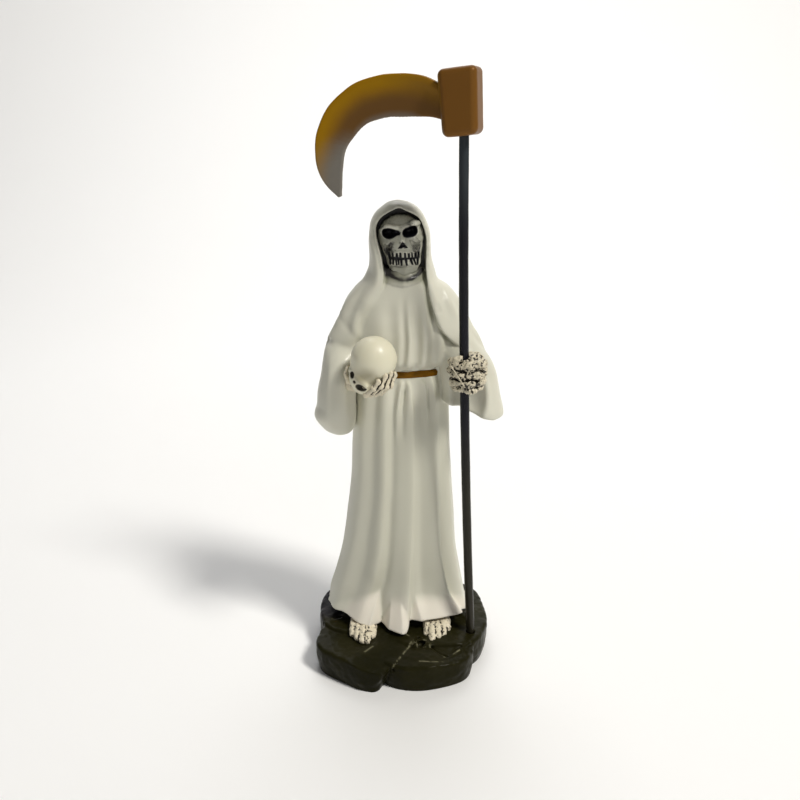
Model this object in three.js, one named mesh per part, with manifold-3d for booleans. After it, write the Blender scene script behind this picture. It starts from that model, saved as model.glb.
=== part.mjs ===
// A hooded skeleton in a long robe, cast in resin in one with its rock base. One fist grips a
// scythe made of a rod and a cast head, the other hand holds a small skull.
// Millimetres, +Z up. The figure faces -Y and +X is on the viewer's right.
// The origin is the middle of the rock's flat underside.
import * as THREE from 'three';
import { mergeVertices } from 'three/addons/utils/BufferGeometryUtils.js';
import Module from 'manifold-3d';

const wasm = await Module();
wasm.setup();

// Driving sizes of the rock base
const BASE_WIDTH = 92; // across the boulders, left to right
const BASE_DEPTH = 92; // front to back
const BASE_HEIGHT = 16; // underside to the ground that the robe stands over

// Driving sizes of the figure, whose carving is written for CARVED_HEIGHT and scales with its height
const FIGURE_HEIGHT = 226; // ground to the top of the hood
const BELT_HEIGHT = 3.8; // width of the belt band
const BELT_RELIEF = 0.6; // how far the band stands out of the waist
const CAPE_RELIEF = 2; // how far the cape's front edge stands over chest and arm

// Driving sizes of the staff
const STAFF_DIAMETER = 4.5;
const STAFF_LENGTH = 270; // foot to the end inside the block
const STAFF_BOW = 1.5; // how far its middle bends towards the figure
const STAFF_CLEARANCE = 0.3; // gap all round it in the rock, the fist and the block
const STAFF_SOCKET_DEPTH = 2; // how deep its foot stands in the rock
const STAFF_FOOT_INSET = 9.1; // from the base's right-hand side to its foot
const STAFF_FOOT_FORWARD = 14; // from the base's middle to its foot

// Driving sizes of the scythe head
const BLOCK_WIDTH = 15.4;
const BLOCK_DEPTH = 15;
const BLOCK_HEIGHT = 27.6;
const BLOCK_ROUND = 2.4; // rounding of its edges
const BLOCK_BORE_DEPTH = 11.4; // how far the staff goes into it
const BLOCK_SHIFT = 0.6; // from the staff to the block's middle, towards the blade
const BLADE_REACH = 71; // from the block's middle to the farthest part of the curve
const BLADE_WIDTH = 18.2;
const BLADE_SPINE = 4.4; // thickness along the outer edge
const BLADE_EDGE = 1.2; // thickness along the inner edge
const HEAD_YAW = 18; // degrees that the blade swings back over the hood
const HEAD_ROLL = 6; // degrees that the blade's side hangs down

const CARVED_HEIGHT = 226;
const CARVED_GROUND = 16;
const TURN = Math.PI * 2;
const rad = THREE.MathUtils.degToRad;
const vec = (x, y, z) => new THREE.Vector3(x, y, z);

// Figure coordinates are written for the carved height, with z from the underside of the base.
const carvedScale = FIGURE_HEIGHT / CARVED_HEIGHT;
const figureMatrix = new THREE.Matrix4()
  .makeTranslation(0, 0, BASE_HEIGHT)
  .scale(vec(carvedScale, carvedScale, carvedScale))
  .multiply(new THREE.Matrix4().makeTranslation(0, 0, -CARVED_GROUND));

function toSolid(geometry, matrix) {
  const bare = geometry.index ? geometry.clone() : geometry;
  bare.deleteAttribute('normal');
  bare.deleteAttribute('uv');
  const merged = mergeVertices(bare, 1e-4);
  if (matrix) merged.applyMatrix4(matrix);
  const vertProperties = new Float32Array(merged.attributes.position.array);
  const triVerts = new Uint32Array(merged.index.array);
  return new wasm.Manifold(new wasm.Mesh({ numProp: 3, vertProperties, triVerts }));
}

function toGeometry(solid) {
  const mesh = solid.getMesh();
  const geometry = new THREE.BufferGeometry();
  geometry.setAttribute('position', new THREE.BufferAttribute(mesh.vertProperties, 3));
  geometry.setIndex(new THREE.BufferAttribute(mesh.triVerts, 1));
  geometry.computeVertexNormals();
  return geometry;
}

const join = (solids) => solids.reduce((whole, piece) => whole.add(piece));

// Closed skin over rings of equal count. Each ring turns anticlockwise seen from the last ring.
// nose pushes the middles of the two end caps outwards.
function loft(rings, nose = [vec(0, 0, 0), vec(0, 0, 0)]) {
  const count = rings[0].length;
  const middle = (ring) => ring.reduce((sum, p) => sum.add(p), vec(0, 0, 0)).divideScalar(count);
  const points = rings.flat();
  const first = points.push(middle(rings[0]).add(nose[0])) - 1;
  const last = points.push(middle(rings[rings.length - 1]).add(nose[1])) - 1;
  const top = (rings.length - 1) * count;
  const index = [];
  for (let j = 0; j < count; j += 1) {
    const k = (j + 1) % count;
    index.push(first, k, j, last, top + j, top + k);
    for (let i = 0; i < top; i += count) {
      index.push(i + j, i + k, i + count + k, i + j, i + count + k, i + count + j);
    }
  }
  const geometry = new THREE.BufferGeometry().setFromPoints(points);
  geometry.setIndex(index);
  return geometry;
}

// Smooth value between rows [key, a, b, ...] at a key, by cubic steps with averaged slopes
function rowAt(rows, key) {
  const last = rows.length - 1;
  const within = THREE.MathUtils.clamp(key, rows[0][0], rows[last][0]);
  let i = 0;
  while (i < last - 1 && within > rows[i + 1][0]) i += 1;
  const slope = (n, c) => {
    const a = rows[Math.max(n - 1, 0)];
    const b = rows[Math.min(n + 1, last)];
    return (b[c] - a[c]) / (b[0] - a[0]);
  };
  const span = rows[i + 1][0] - rows[i][0];
  const t = (within - rows[i][0]) / span;
  const blend = (c) => {
    const h00 = (1 + 2 * t) * (1 - t) ** 2;
    const h10 = t * (1 - t) ** 2;
    const h01 = t * t * (3 - 2 * t);
    const h11 = t * t * (t - 1);
    return h00 * rows[i][c] + h10 * span * slope(i, c) + h01 * rows[i + 1][c] + h11 * span * slope(i + 1, c);
  };
  return rows[i].map((_, c) => (c === 0 ? key : blend(c)));
}

// Upright body whose rows are [height, middle x, middle y, half width, depth to front, depth to back,
// squareness], where a squareness of 2 is an ellipse. Angles are in degrees from the front, positive
// towards +X. relief(angle, height, offset) raises the skin, where offset is the distance sideways from
// the middle, and edge(angle, level) shifts a level up or down.
function upright(rows, levels, angles, relief = () => 0, edge = () => 0) {
  const rings = levels.map((level, n) => angles.map((angle) => {
    const z = level + edge(angle, n);
    const [, x, y, w, front, back, square] = rowAt(rows, z);
    const s = Math.sin(rad(angle));
    const c = Math.cos(rad(angle));
    const depth = c > 0 ? front : back;
    const px = Math.sign(s) * Math.abs(s) ** (2 / square) * w;
    const py = -Math.sign(c) * Math.abs(c) ** (2 / square) * depth;
    const out = vec(s / w, -c / depth, 0).normalize().multiplyScalar(relief(angle, z, px));
    return vec(x + px, y + py, z).add(out);
  }));
  return toSolid(loft(rings), figureMatrix);
}

// Angles right round, close together in front where the folds are fine
function anglesAround(frontStep, backStep) {
  const angles = [];
  let angle = -180;
  while (angle < 180 - 1e-6) {
    angles.push(angle);
    angle += Math.abs(angle + frontStep / 2) < 78 ? frontStep : backStep;
  }
  return angles;
}

const evenAngles = (count) => Array.from({ length: count }, (_, i) => -180 + (360 * i) / count);

function ellipsoid(centre, radii, turn = [0, 0, 0], fine = 14, matrix = figureMatrix) {
  const geometry = new THREE.SphereGeometry(1, fine, Math.round(fine * 0.7));
  geometry.scale(...radii);
  geometry.rotateX(rad(turn[0]));
  geometry.rotateY(rad(turn[1]));
  geometry.rotateZ(rad(turn[2]));
  geometry.translate(...centre);
  return toSolid(geometry, matrix);
}

const ROUND_END = 0.8; // how far a bone's ends stand out, as a share of its radius

// Bone or finger: a round-ended tube through points, with a radius at each point
function bone(points, radii, sides = 6, matrix = figureMatrix) {
  const path = points.map((p) => vec(...p));
  const ends = path.length - 1;
  const along = (i) => path[Math.min(i + 1, ends)].clone().sub(path[Math.max(i - 1, 0)]).normalize();
  const side = Math.abs(along(0).z) > 0.8 ? vec(1, 0, 0) : vec(0, 0, 1);
  const ring = (centre, direction, radius) => {
    const u = side.clone().cross(direction).normalize();
    const v = direction.clone().cross(u);
    return evenAngles(sides).map((a) => centre.clone()
      .addScaledVector(u, radius * Math.cos(rad(a)))
      .addScaledVector(v, radius * Math.sin(rad(a))));
  };
  const rings = path.map((p, i) => ring(p, along(i), radii[i]));
  const nose = [
    along(0).multiplyScalar(-ROUND_END * radii[0]),
    along(ends).multiplyScalar(ROUND_END * radii[ends]),
  ];
  return toSolid(loft(rings, nose), matrix);
}

// Block of the given size, turned about its middle
function bar(centre, size, turn = [0, 0, 0], matrix = figureMatrix) {
  const geometry = new THREE.BoxGeometry(...size);
  geometry.rotateX(rad(turn[0]));
  geometry.rotateY(rad(turn[1]));
  geometry.rotateZ(rad(turn[2]));
  geometry.translate(...centre);
  return toSolid(geometry, matrix);
}

// Rock base: boulders leaning on each other, each [x, y, half width, half depth, top, turn, squareness].
// The first five are shares of the base's half width, half depth and height.
const BOULDERS = [
  [-0.3, -0.33, 0.62, 0.64, 0.97, -30, 3],
  [0.163, -0.31, 0.54, 0.63, 0.9, 14, 3],
  [0.39, 0.16, 0.62, 0.77, 1.03, 0, 3],
  [-0.33, 0.3, 0.66, 0.69, 1.06, 0, 2.7],
];

function boulder([x, y, halfWidth, halfDepth, top, turn, square], n) {
  const side = BASE_WIDTH / 2;
  const length = BASE_DEPTH / 2;
  const t = rad(turn);
  const layers = [[0, 0.95], [0.3, 0.99], [0.8, 1], [0.94, 0.98], [1, 0.94]];
  const rings = layers.map(([share, size]) => evenAngles(16).map((a) => {
    const s = Math.sin(rad(a));
    const c = Math.cos(rad(a));
    const lump = 1 + 0.018 * Math.sin(3 * rad(a) + 1.7 * n) + 0.012 * Math.sin(7 * rad(a) + 2.3 * n);
    const px = Math.sign(s) * Math.abs(s) ** (2 / square) * halfWidth * side * size * lump;
    const py = -Math.sign(c) * Math.abs(c) ** (2 / square) * halfDepth * length * size * lump;
    return vec(
      x * side + px * Math.cos(t) - py * Math.sin(t),
      y * length + px * Math.sin(t) + py * Math.cos(t),
      share * top * BASE_HEIGHT,
    );
  }));
  return toSolid(loft(rings));
}

// The front left slab is split off along a straight edge that leans under itself.
const SLAB_EDGE = { offset: 0.32, turn: -29, lean: 18 };

function rockBase() {
  const [slab, ...others] = BOULDERS.map(boulder);
  const reach = (SLAB_EDGE.offset + 0.5) * (BASE_WIDTH / 2);
  const along = rad(SLAB_EDGE.turn);
  const split = bar(
    [reach * Math.cos(along), reach * Math.sin(along), BASE_HEIGHT / 2],
    [BASE_WIDTH / 2, BASE_DEPTH * 2, BASE_HEIGHT * 4],
    [0, SLAB_EDGE.lean, SLAB_EDGE.turn],
    null,
  );
  return join([slab.subtract(split), ...others]);
}

// Hood and cape in one sweep from lower edge to crown
const MANTLE = [
  [164, 0.9, 1, 41.6, 17.2, 20.8, 2.3],
  [170, 0.9, 1, 39.6, 16.8, 20.4, 2.3],
  [176, 0.8, 1.2, 37, 16.3, 19.8, 2.3],
  [182, 0.5, 1.5, 33.6, 15.7, 19, 2.3],
  [188, 0.3, 2, 31, 15, 18, 2.3],
  [194, 0, 2, 27.9, 14.4, 17, 2.3],
  [200, 0, 2.5, 23.2, 14.2, 16, 2.3],
  [204, -0.5, 2.5, 18.8, 14.2, 15.5, 2.3],
  [209, -0.5, 3, 16.6, 14.7, 15.5, 2.3],
  [215, -1, 3, 15.2, 15.2, 15.6, 2.3],
  [221, -1.2, 3, 14.9, 15.5, 16, 2.3],
  [227, -1.2, 3, 14.4, 15.5, 16, 2.3],
  [232, -1.7, 3, 13.2, 14.9, 15, 2.3],
  [236, -1.7, 2.5, 11, 13.4, 12.8, 2.3],
  [239, -1.5, 1.8, 8, 11, 9.6, 2.2],
  [241, -1.9, 0.8, 4.8, 7.4, 6, 2.1],
  [242, -2.2, 0, 1.2, 2, 2, 2],
];
const SHOULDER = [174, 201]; // heights between which the blouse fills the cape

// Robe from hem to collar. Above the belt it fills the cape, whose edges stand over it.
const HEM = 21.3;
const KNEE = 92;
const WAIST = 158;
const BLOUSE_SHARE = 0.76; // half width of the blouse in that of the cape
const underCape = ([z, x, y, w, front, back, square]) => [
  z, x, y, w * BLOUSE_SHARE, front - CAPE_RELIEF, back - CAPE_RELIEF, square,
];
const ROBE = [
  [16, -2.5, 8, 37.4, 18.5, 23.5, 2],
  [25, -2.5, 8, 37.2, 18.6, 23, 2],
  [34, -2.7, 7.6, 36, 18.4, 22.2, 2],
  [45, -2.1, 7, 33.3, 18, 21, 2],
  [60, -1.5, 6, 30.2, 17.2, 19.4, 2],
  [80, -0.7, 5, 28.1, 16.4, 17.8, 2],
  [100, -0.3, 4, 26.2, 15.8, 16.6, 2],
  [120, -0.5, 3.4, 25.1, 15.2, 15.6, 2],
  [140, -0.3, 3.1, 24, 14.8, 15, 2],
  [152, 0, 3, 22.6, 14.2, 14.6, 2],
  [157, 0, 3, 20.8, 13.4, 14, 2],
  [161, 0, 3, 20.8, 13.4, 14, 2],
  [163.5, 0, 3, 22.4, 15, 15.2, 2.1],
  [168, 0.4, 2, 24.2, 15.4, 16.8, 2.2],
  ...MANTLE.filter(([z]) => z > SHOULDER[0] && z < SHOULDER[1]).map(underCape),
  [205, -0.3, 2.5, 13.5, 11.8, 12, 2.1],
  [210, -0.5, 2.5, 9.5, 10.8, 10, 2],
];

// Pleats: angle at waist, knee and hem, rise there, and spread there
const PLEATS = [
  { at: [-51, -50, -55], rise: [0.9, 1, 1.6], spread: [9, 8, 8] },
  { at: [-34, -33, -40], rise: [-0.9, -0.8, -1], spread: [7, 7, 6] },
  { at: [-20, -19, -24], rise: [0.9, 1.3, 2.8], spread: [5, 6, 9] },
  { at: [-10, -12.5, -11], rise: [-1.2, -1.3, -2.9], spread: [4, 4, 4] },
  { at: [-1.6, -1, -1], rise: [1, 0.1, 0], spread: [3, 4, 4] },
  { at: [4.6, 3, 0], rise: [-0.8, 0, 0], spread: [3, 4, 4] },
  { at: [14.6, 11, 4], rise: [1, 1.5, 5.6], spread: [5, 6, 6.5] },
  { at: [22, 23, 12.4], rise: [-1, -1, -2.6], spread: [4, 5, 2.8] },
  { at: [44, 40, 28], rise: [0.8, 1.5, 2.4], spread: [6, 6, 9] },
  { at: [60, 54, 45], rise: [-0.8, -0.9, -2], spread: [5, 5, 3.5] },
  { at: [75, 68, 58], rise: [0.6, 0.9, 1.9], spread: [7, 7, 7] },
];

// Gathers of the blouse over the belt: sideways offset, rise and spread
const GATHERS = [
  [-12, 0.7, 3.4], [-6.4, -0.6, 2.4], [-1, 1.1, 2], [3.8, -0.8, 2.2], [9, 1.2, 2.2], [13.6, -0.9, 1.8],
  [18, 1, 2.2],
];
const BACK_FOLDS = 13;

const bell = (x) => Math.exp(-0.5 * x * x);

function throughThree([atWaist, atKnee, atHem], z) {
  const a = (z - KNEE) * (z - HEM) / ((WAIST - KNEE) * (WAIST - HEM));
  const b = (z - WAIST) * (z - HEM) / ((KNEE - WAIST) * (KNEE - HEM));
  const c = (z - WAIST) * (z - KNEE) / ((HEM - WAIST) * (HEM - KNEE));
  return a * atWaist + b * atKnee + c * atHem;
}

const ramp = (x, from, to) => THREE.MathUtils.smoothstep(x, from, to);

function robeRelief(angle, z, offset) {
  const skirt = 1 - ramp(z, WAIST - 7, WAIST - 2.5);
  const blouse = ramp(z, WAIST + 3, WAIST + 7) * (1 - ramp(z, 188, 204));
  const behind = ramp(Math.abs(angle), 78, 100);
  let height = 0;
  for (const { at, rise, spread } of PLEATS) {
    const away = (angle - throughThree(at, z)) / throughThree(spread, z);
    height += skirt * throughThree(rise, z) * bell(away);
  }
  const front = 1 - behind;
  for (const [at, rise, spread] of GATHERS) height += front * blouse * rise * bell((offset - at) / spread);
  const fold = Math.cos(BACK_FOLDS * rad(angle));
  return height + behind * fold * (skirt * (0.7 + 0.9 * (1 - ramp(z, HEM, 120))) + 0.4 * blouse);
}

// The hem is lifted over the feet, and drops at the point of the middle pleat and behind.
function hemDrop(angle, n) {
  if (n > 0) return 0;
  return -4.2 * bell((angle - 4) / 6) - 4.6 * ramp(Math.abs(angle + 12), 80, 125);
}

function robe() {
  const levels = [HEM, 27, 36, 54, 82, 115, 142, 153, 157, 161, 164, 169, 177, 189, 200, 210];
  return upright(ROBE, levels, anglesAround(5.5, 13), robeRelief, hemDrop);
}

// The skirt's underside is recessed, and a narrower core joins it to the rock.
function core() {
  const rows = [[8, -2.5, 8, 32, 14, 20, 2], [27, -2.5, 8, 31, 13.5, 20, 2]];
  return upright(rows, [8, 27], evenAngles(20));
}

function belt() {
  const low = WAIST - BELT_HEIGHT / 2;
  const high = WAIST + BELT_HEIGHT / 2;
  const [, x, y, w, front, back, square] = rowAt(ROBE, WAIST);
  const size = (r) => [x, y, w + r, front + r, back + r, square];
  const rows = [[low, ...size(BELT_RELIEF)], [high, ...size(BELT_RELIEF)]];
  return upright(rows, [low, high], evenAngles(28));
}

// Front opening of hood and cape as seen from the front: points [x, z] down the right-hand side and
// up the left-hand side
const OPENING = [
  [-1.2, 239.1], [5.9, 237], [10.2, 231.5], [11.4, 224], [11.2, 215], [11.8, 206], [12.9, 196.6],
  [15.7, 188], [19.2, 180.4], [27.4, 173], [38, 168.4], [44, 160], [0, 156], [-44, 160], [-38, 171.4],
  [-27.5, 172.2], [-21.4, 176.5], [-19.6, 184], [-14.5, 194], [-9.3, 204], [-8.6, 213], [-10.8, 221],
  [-12.1, 229], [-7.6, 236.4],
];
const CAVITY_BACK = 1.5; // how far back the hood is hollow

function mantleRelief(angle, z) {
  const cape = 1 - ramp(z, 188, 206);
  const lean = 5 * (z - 180) / 20;
  const folds = 0.7 * Math.cos(rad(9 * (angle - 6 - lean))) * ramp(Math.abs(angle), 35, 60);
  const drape = 0.5 * Math.cos(rad(6 * angle)) * ramp(Math.abs(angle), 90, 130) * (1 - cape);
  return cape * folds + drape * (1 - ramp(z, 228, 240));
}

// The lower edge of the cape hangs deeper behind than over the arms.
function capeEdge(angle, n) {
  return n > 0 ? 0 : 3.4 * bell((angle + 80) / 40) + 1.4 * bell((angle - 85) / 40);
}

function mantle() {
  const levels = [167, 176, 185, 194, 200, 204, 210, 218, 227, 233, 237, 240, 242];
  const whole = upright(MANTLE, levels, anglesAround(7, 16), mantleRelief, capeEdge);
  const outline = new THREE.SplineCurve(OPENING.map(([x, z]) => new THREE.Vector2(x, z)).concat(
    new THREE.Vector2(...OPENING[0]),
  )).getPoints(OPENING.length * 2);
  const opening = new THREE.Shape(outline.slice(0, -1));
  const cut = new THREE.ExtrudeGeometry(opening, { depth: 40, bevelEnabled: false });
  cut.rotateX(Math.PI / 2);
  cut.translate(0, CAVITY_BACK, 0);
  return whole.subtract(toSolid(cut, figureMatrix));
}

// Sleeves, from the shoulder under the cape to the hanging end
const RIGHT_SLEEVE = [
  [133.6, 45.2, -5, 2, 3, 3, 2.3],
  [135.2, 44.4, -5, 5.8, 9, 9, 2.3],
  [138, 42, -4.6, 8.6, 12, 12.5, 2.3],
  [141.6, 37.7, -4.4, 12.4, 13, 14, 2.3],
  [148, 36.2, -4, 12.4, 13.4, 14, 2.3],
  [157, 34.2, -3, 12.6, 13.4, 14, 2.3],
  [164, 32, -2, 12.4, 13.2, 14, 2.3],
  [170, 29.2, -1, 11.4, 11.6, 14, 2.3],
  [177, 26.2, 0.8, 9.8, 10, 13.6, 2.3],
  [187, 22, 2.6, 8, 7.6, 12, 2.3],
];
const LEFT_SLEEVE = [
  [126.4, -31, -5, 1.5, 3, 3, 2.3],
  [128, -30.8, -5, 5, 9, 9, 2.3],
  [130.6, -31.4, -5, 7.6, 13, 12, 2.3],
  [136.8, -33.2, -4.6, 10, 16, 14, 2.3],
  [143, -32.6, -4.4, 9.4, 17, 15, 2.3],
  [150, -32.2, -4, 9.2, 17.2, 15, 2.3],
  [158, -31.6, -3.4, 8.2, 17, 15, 2.3],
  [165, -30.4, -2.4, 8.6, 15.4, 15, 2.3],
  [171, -28.6, -1, 9.6, 12, 14.6, 2.3],
  [177, -26, 0.8, 9.4, 9.8, 13.8, 2.3],
  [187, -22, 2.6, 8, 7.6, 12, 2.3],
];

function sleeveRelief(side) {
  return (angle, z) => {
    const hang = 1 - ramp(z, 158, 172);
    const outer = bell((angle * side - 70) / 26) - 0.8 * bell((angle * side - 118) / 20);
    return hang * (0.9 * outer + 0.5 * Math.cos(rad(5 * angle)) * ramp(Math.abs(angle), 110, 150));
  };
}

function sleeves() {
  const levelsOf = (rows) => rows.map(([z]) => z);
  const right = upright(RIGHT_SLEEVE, levelsOf(RIGHT_SLEEVE), evenAngles(15), sleeveRelief(1));
  const left = upright(LEFT_SLEEVE, levelsOf(LEFT_SLEEVE), evenAngles(15), sleeveRelief(-1));
  const rightMouth = ellipsoid([31.6, -21, 153], [10.4, 11.5, 21], [0, -7, 0], 12);
  const leftMouth = ellipsoid([-21.6, -8, 148], [5.2, 12, 18], [0, 0, 0], 10);
  return join([right.subtract(rightMouth), left.subtract(leftMouth)]);
}

// Skull face inside the hood, leaning its crown to the viewer's left
const FACE = { x: -0.4, y: 1, z: 221.4, roll: 4 };
const TOOTH_GAPS = 7;
const TOOTH_ROWS = [-4.2, -7.9]; // heights of the upper and lower teeth in the face

function skullFace() {
  const place = new THREE.Matrix4().copy(figureMatrix)
    .multiply(new THREE.Matrix4().makeTranslation(FACE.x, FACE.y, FACE.z))
    .multiply(new THREE.Matrix4().makeRotationY(-rad(FACE.roll)));
  const egg = (centre, radii, turn, fine = 7) => ellipsoid(centre, radii, turn, fine, place);
  const mass = [
    egg([0, 0, 4], [10.8, 10.8, 10.6], [0, 0, 0], 12),
    egg([0.2, -3.4, -5.4], [7.6, 6.9, 7], [0, 0, 0], 9),
    egg([0.5, -5.2, -9.7], [5.7, 5, 3.8], [0, 0, 0], 9),
    egg([0, 3, -12], [6, 9, 8], [0, 0, 0]),
    bone([[0.2, -10.2, 6.4], [0.3, -11.2, 1.8]], [1.2, 1], 5, place),
  ];
  for (const side of [-1, 1]) {
    mass.push(egg([side * 4.6, -6.8, 8.6], [5, 3.2, 1.8], [0, side * -6, side * 14]));
    mass.push(egg([side * 5.8, -5.6, 0.4], [4.2, 3.8, 2.2], [0, side * 16, side * 30]));
    mass.push(bone([[side * 8.2, -3.6, -2], [side * 6.8, -3.6, -9]], [1.7, 1.8], 5, place));
  }
  for (const z of TOOTH_ROWS) {
    const arch = [[-7, -4.4, z], [-4.7, -8.5, z], [0.4, -10.2, z], [5.5, -8.5, z], [7.8, -4.4, z]];
    mass.push(bone(arch, [1.6, 1.9, 2, 1.9, 1.6], 5, place));
  }
  const cuts = [
    egg([-5.2, -9, 5], [4, 6, 2.7], [0, 12, 0]),
    egg([4.8, -9, 5.3], [4.2, 6, 2.8], [0, -12, 0]),
    bone([[0.5, -13.2, 0.9], [0.5, -7.6, -0.8]], [0.8, 2.8], 3, place),
  ];
  for (let i = 0; i < TOOTH_GAPS; i += 1) {
    const x = -6 + (12.8 * i) / (TOOTH_GAPS - 1);
    const depth = -11.6 + 0.075 * (x - 0.4) ** 2;
    cuts.push(bar([x, depth, -6.1], [0.6, 2, 6], [0, 0, 0], place));
  }
  return join(mass).subtract(join(cuts));
}

// Hand with the small skull
const BALL = [-13.4, -27, 170.6];

function skullHand() {
  const solids = [
    ellipsoid(BALL, [11, 10.6, 11], [0, 0, 0], 12),
    ellipsoid([-18.2, -27.4, 162], [7, 7, 7.2], [0, 0, 0], 9),
    ellipsoid([-13, -26, 158.4], [8, 8.4, 3.8], [0, -8, 0], 9),
    bone([[-30, -12, 157], [-22, -20, 156], [-14, -26, 157.4]], [5.5, 4.8, 4], 6),
    bone([[-19, -20, 156], [-25, -23, 160], [-24.8, -23.6, 168.4]], [2, 1.6, 1.2]),
  ];
  const tips = [[-11.8, 161.6], [-8.2, 163.8], [-5.2, 165.4], [-2.8, 164]];
  tips.forEach(([x, z], i) => {
    const knuckle = [-13.6 + 2.9 * i, -35.4 + 1.3 * i, 156.4 + 0.9 * i];
    solids.push(bone([[-15 + 2 * i, -28, 155.8], knuckle, [x, -35.4 + 1.6 * i, z]], [1.7, 1.7, 1.3], 5));
  });
  const sockets = [
    ellipsoid([-23.2, -32, 163.2], [1.5, 2.6, 1.9], [0, 0, 0], 8),
    ellipsoid([-19.8, -33, 157.4], [2.6, 2.6, 1.8], [0, 0, 0], 8),
  ];
  return join(solids).subtract(join(sockets));
}

// Fist round the staff
const GRIP = [31.3, -22.7, 163];

function fist() {
  const [x, y, z] = GRIP;
  const solids = [
    ellipsoid([x + 0.3, y + 1, z], [8.2, 8, 9.6], [0, 0, 0], 8),
    bone([[34, -6, 160], [33, -16, 161.5]], [6, 6.2], 6),
    bone([[x - 8, y + 2, z + 2], [x - 7.4, y - 3.4, z + 6.4], [x - 4.4, y - 6.2, z + 6.8]], [2.3, 2.1, 1.8]),
  ];
  for (let i = 0; i < 4; i += 1) {
    const level = z + 4.6 - 4.4 * i;
    const reach = 7.1 - 0.35 * i;
    const points = [-80, -30, 25, 80].map((a) => [
      x + 0.3 + reach * Math.sin(rad(a)) * 1.04,
      y + 0.4 - reach * Math.cos(rad(a)),
      level - 0.3 * Math.cos(rad(a)),
    ]);
    solids.push(bone(points, [2, 2.4, 2.4, 2]));
  }
  return join(solids);
}

// Feet under the hem: toe tips [x, y], fanned out from the ankle
const LEFT_TOES = [[-26, -18], [-22.2, -24], [-18.2, -24.2], [-14.6, -20]];
const RIGHT_TOES = [[14, -22.4], [18.4, -21.4], [22, -18.6], [25.4, -12]];
const LEFT_ANKLE = [-20, -8];
const RIGHT_ANKLE = [18, -5.6];

function foot(toes, ankle) {
  const solids = [ellipsoid([ankle[0], ankle[1], 17.6], [7.4, 9, 4.4], [0, 0, 0], 7)];
  for (const [x, y] of toes) {
    const rootX = ankle[0] + (x - ankle[0]) * 0.86;
    const knuckle = [(rootX + x) / 2, (ankle[1] + y) / 2 - 1, 19.4];
    solids.push(bone([[rootX, ankle[1], 19.6], knuckle, [x, y, 16.6]], [2.2, 2.2, 1.8], 5));
  }
  return join(solids);
}

// Staff: a bowed rod from its foot through the grip to the block
const staffFoot = vec(
  BASE_WIDTH / 2 - STAFF_FOOT_INSET,
  -STAFF_FOOT_FORWARD,
  BASE_HEIGHT - STAFF_SOCKET_DEPTH,
);
const gripPoint = vec(...GRIP).applyMatrix4(figureMatrix);
const staffDirection = gripPoint.clone().sub(staffFoot).normalize();

function staffPoint(distance) {
  const t = distance / STAFF_LENGTH;
  const bow = vec(-4 * STAFF_BOW * t * (1 - t), 0, 0);
  return staffFoot.clone().addScaledVector(staffDirection, distance).add(bow);
}

function rod(radius, from, to, steps, sides) {
  const points = Array.from({ length: 9 }, (_, i) => staffPoint(from + ((to - from) * i) / 8));
  const section = new THREE.Shape(evenAngles(sides).map((a) => new THREE.Vector2(
    radius * Math.cos(rad(a)),
    radius * Math.sin(rad(a)),
  )));
  const extrudePath = new THREE.CatmullRomCurve3(points);
  return toSolid(new THREE.ExtrudeGeometry(section, { steps, extrudePath, bevelEnabled: false }));
}

const staff = () => rod(STAFF_DIAMETER / 2, 0, STAFF_LENGTH, 10, 8);
const staffBore = (from, to) => rod(STAFF_DIAMETER / 2 + STAFF_CLEARANCE, from, to, 10, 8);

// Scythe head in its own frame: +X along the blade, +Z up, origin at the block's middle
const boreEnd = staffPoint(STAFF_LENGTH);
const headUp = vec(0, 0, 1).applyAxisAngle(vec(0, 1, 0), -rad(HEAD_ROLL));
const headAlong = vec(-Math.cos(rad(HEAD_YAW)), Math.sin(rad(HEAD_YAW)), 0);
const headMiddle = boreEnd.clone()
  .addScaledVector(headUp, BLOCK_HEIGHT / 2 - BLOCK_BORE_DEPTH)
  .addScaledVector(headAlong, BLOCK_SHIFT);
const headMatrix = new THREE.Matrix4()
  .makeTranslation(headMiddle.x, headMiddle.y, headMiddle.z)
  .multiply(new THREE.Matrix4().makeRotationZ(Math.PI - rad(HEAD_YAW)))
  .multiply(new THREE.Matrix4().makeRotationY(rad(HEAD_ROLL)));

// Outer edge of the blade as shares of its reach, from inside the block round to the point
const BLADE_OUTER = [
  [0.04, 0.07], [0.145, 0.134], [0.217, 0.176], [0.311, 0.203], [0.407, 0.214], [0.506, 0.217],
  [0.66, 0.193], [0.77, 0.142], [0.873, 0.067], [0.944, -0.03], [0.989, -0.137], [0.998, -0.287],
  [0.958, -0.406], [0.877, -0.499],
];
// Section of the blade: share along its outer edge, direction to the inner edge in degrees, width as
// a share of the widest
const BLADE_SECTIONS = [
  [0, -90, 0.78], [0.08, -91, 0.86], [0.2, -88, 1], [0.32, -91, 1], [0.43, -104, 0.99], [0.51, -116, 0.97],
  [0.59, -128, 0.97], [0.67, -142, 0.89], [0.74, -153, 0.82], [0.84, -166, 0.69], [0.92, -172, 0.46],
  [1, -200, 0.1],
];

function bladeRing(t, curve) {
  const p = curve.getPointAt(t);
  const [, direction, share] = rowAt(BLADE_SECTIONS, t);
  const inwardX = Math.cos(rad(direction));
  const inwardZ = Math.sin(rad(direction));
  const width = BLADE_WIDTH * share;
  const spine = (BLADE_SPINE / 2) * (0.3 + 0.7 * share);
  const edge = BLADE_EDGE / 2;
  const middle = (spine + edge) / 2;
  const section = [
    [0, -0.45 * spine], [0.08, -spine], [0.5, -middle], [1, -edge],
    [1, edge], [0.5, middle], [0.08, spine], [0, 0.45 * spine],
  ];
  return section.map(([across, thick]) => vec(
    p.x + inwardX * width * across,
    thick,
    p.y + inwardZ * width * across,
  ));
}

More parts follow.
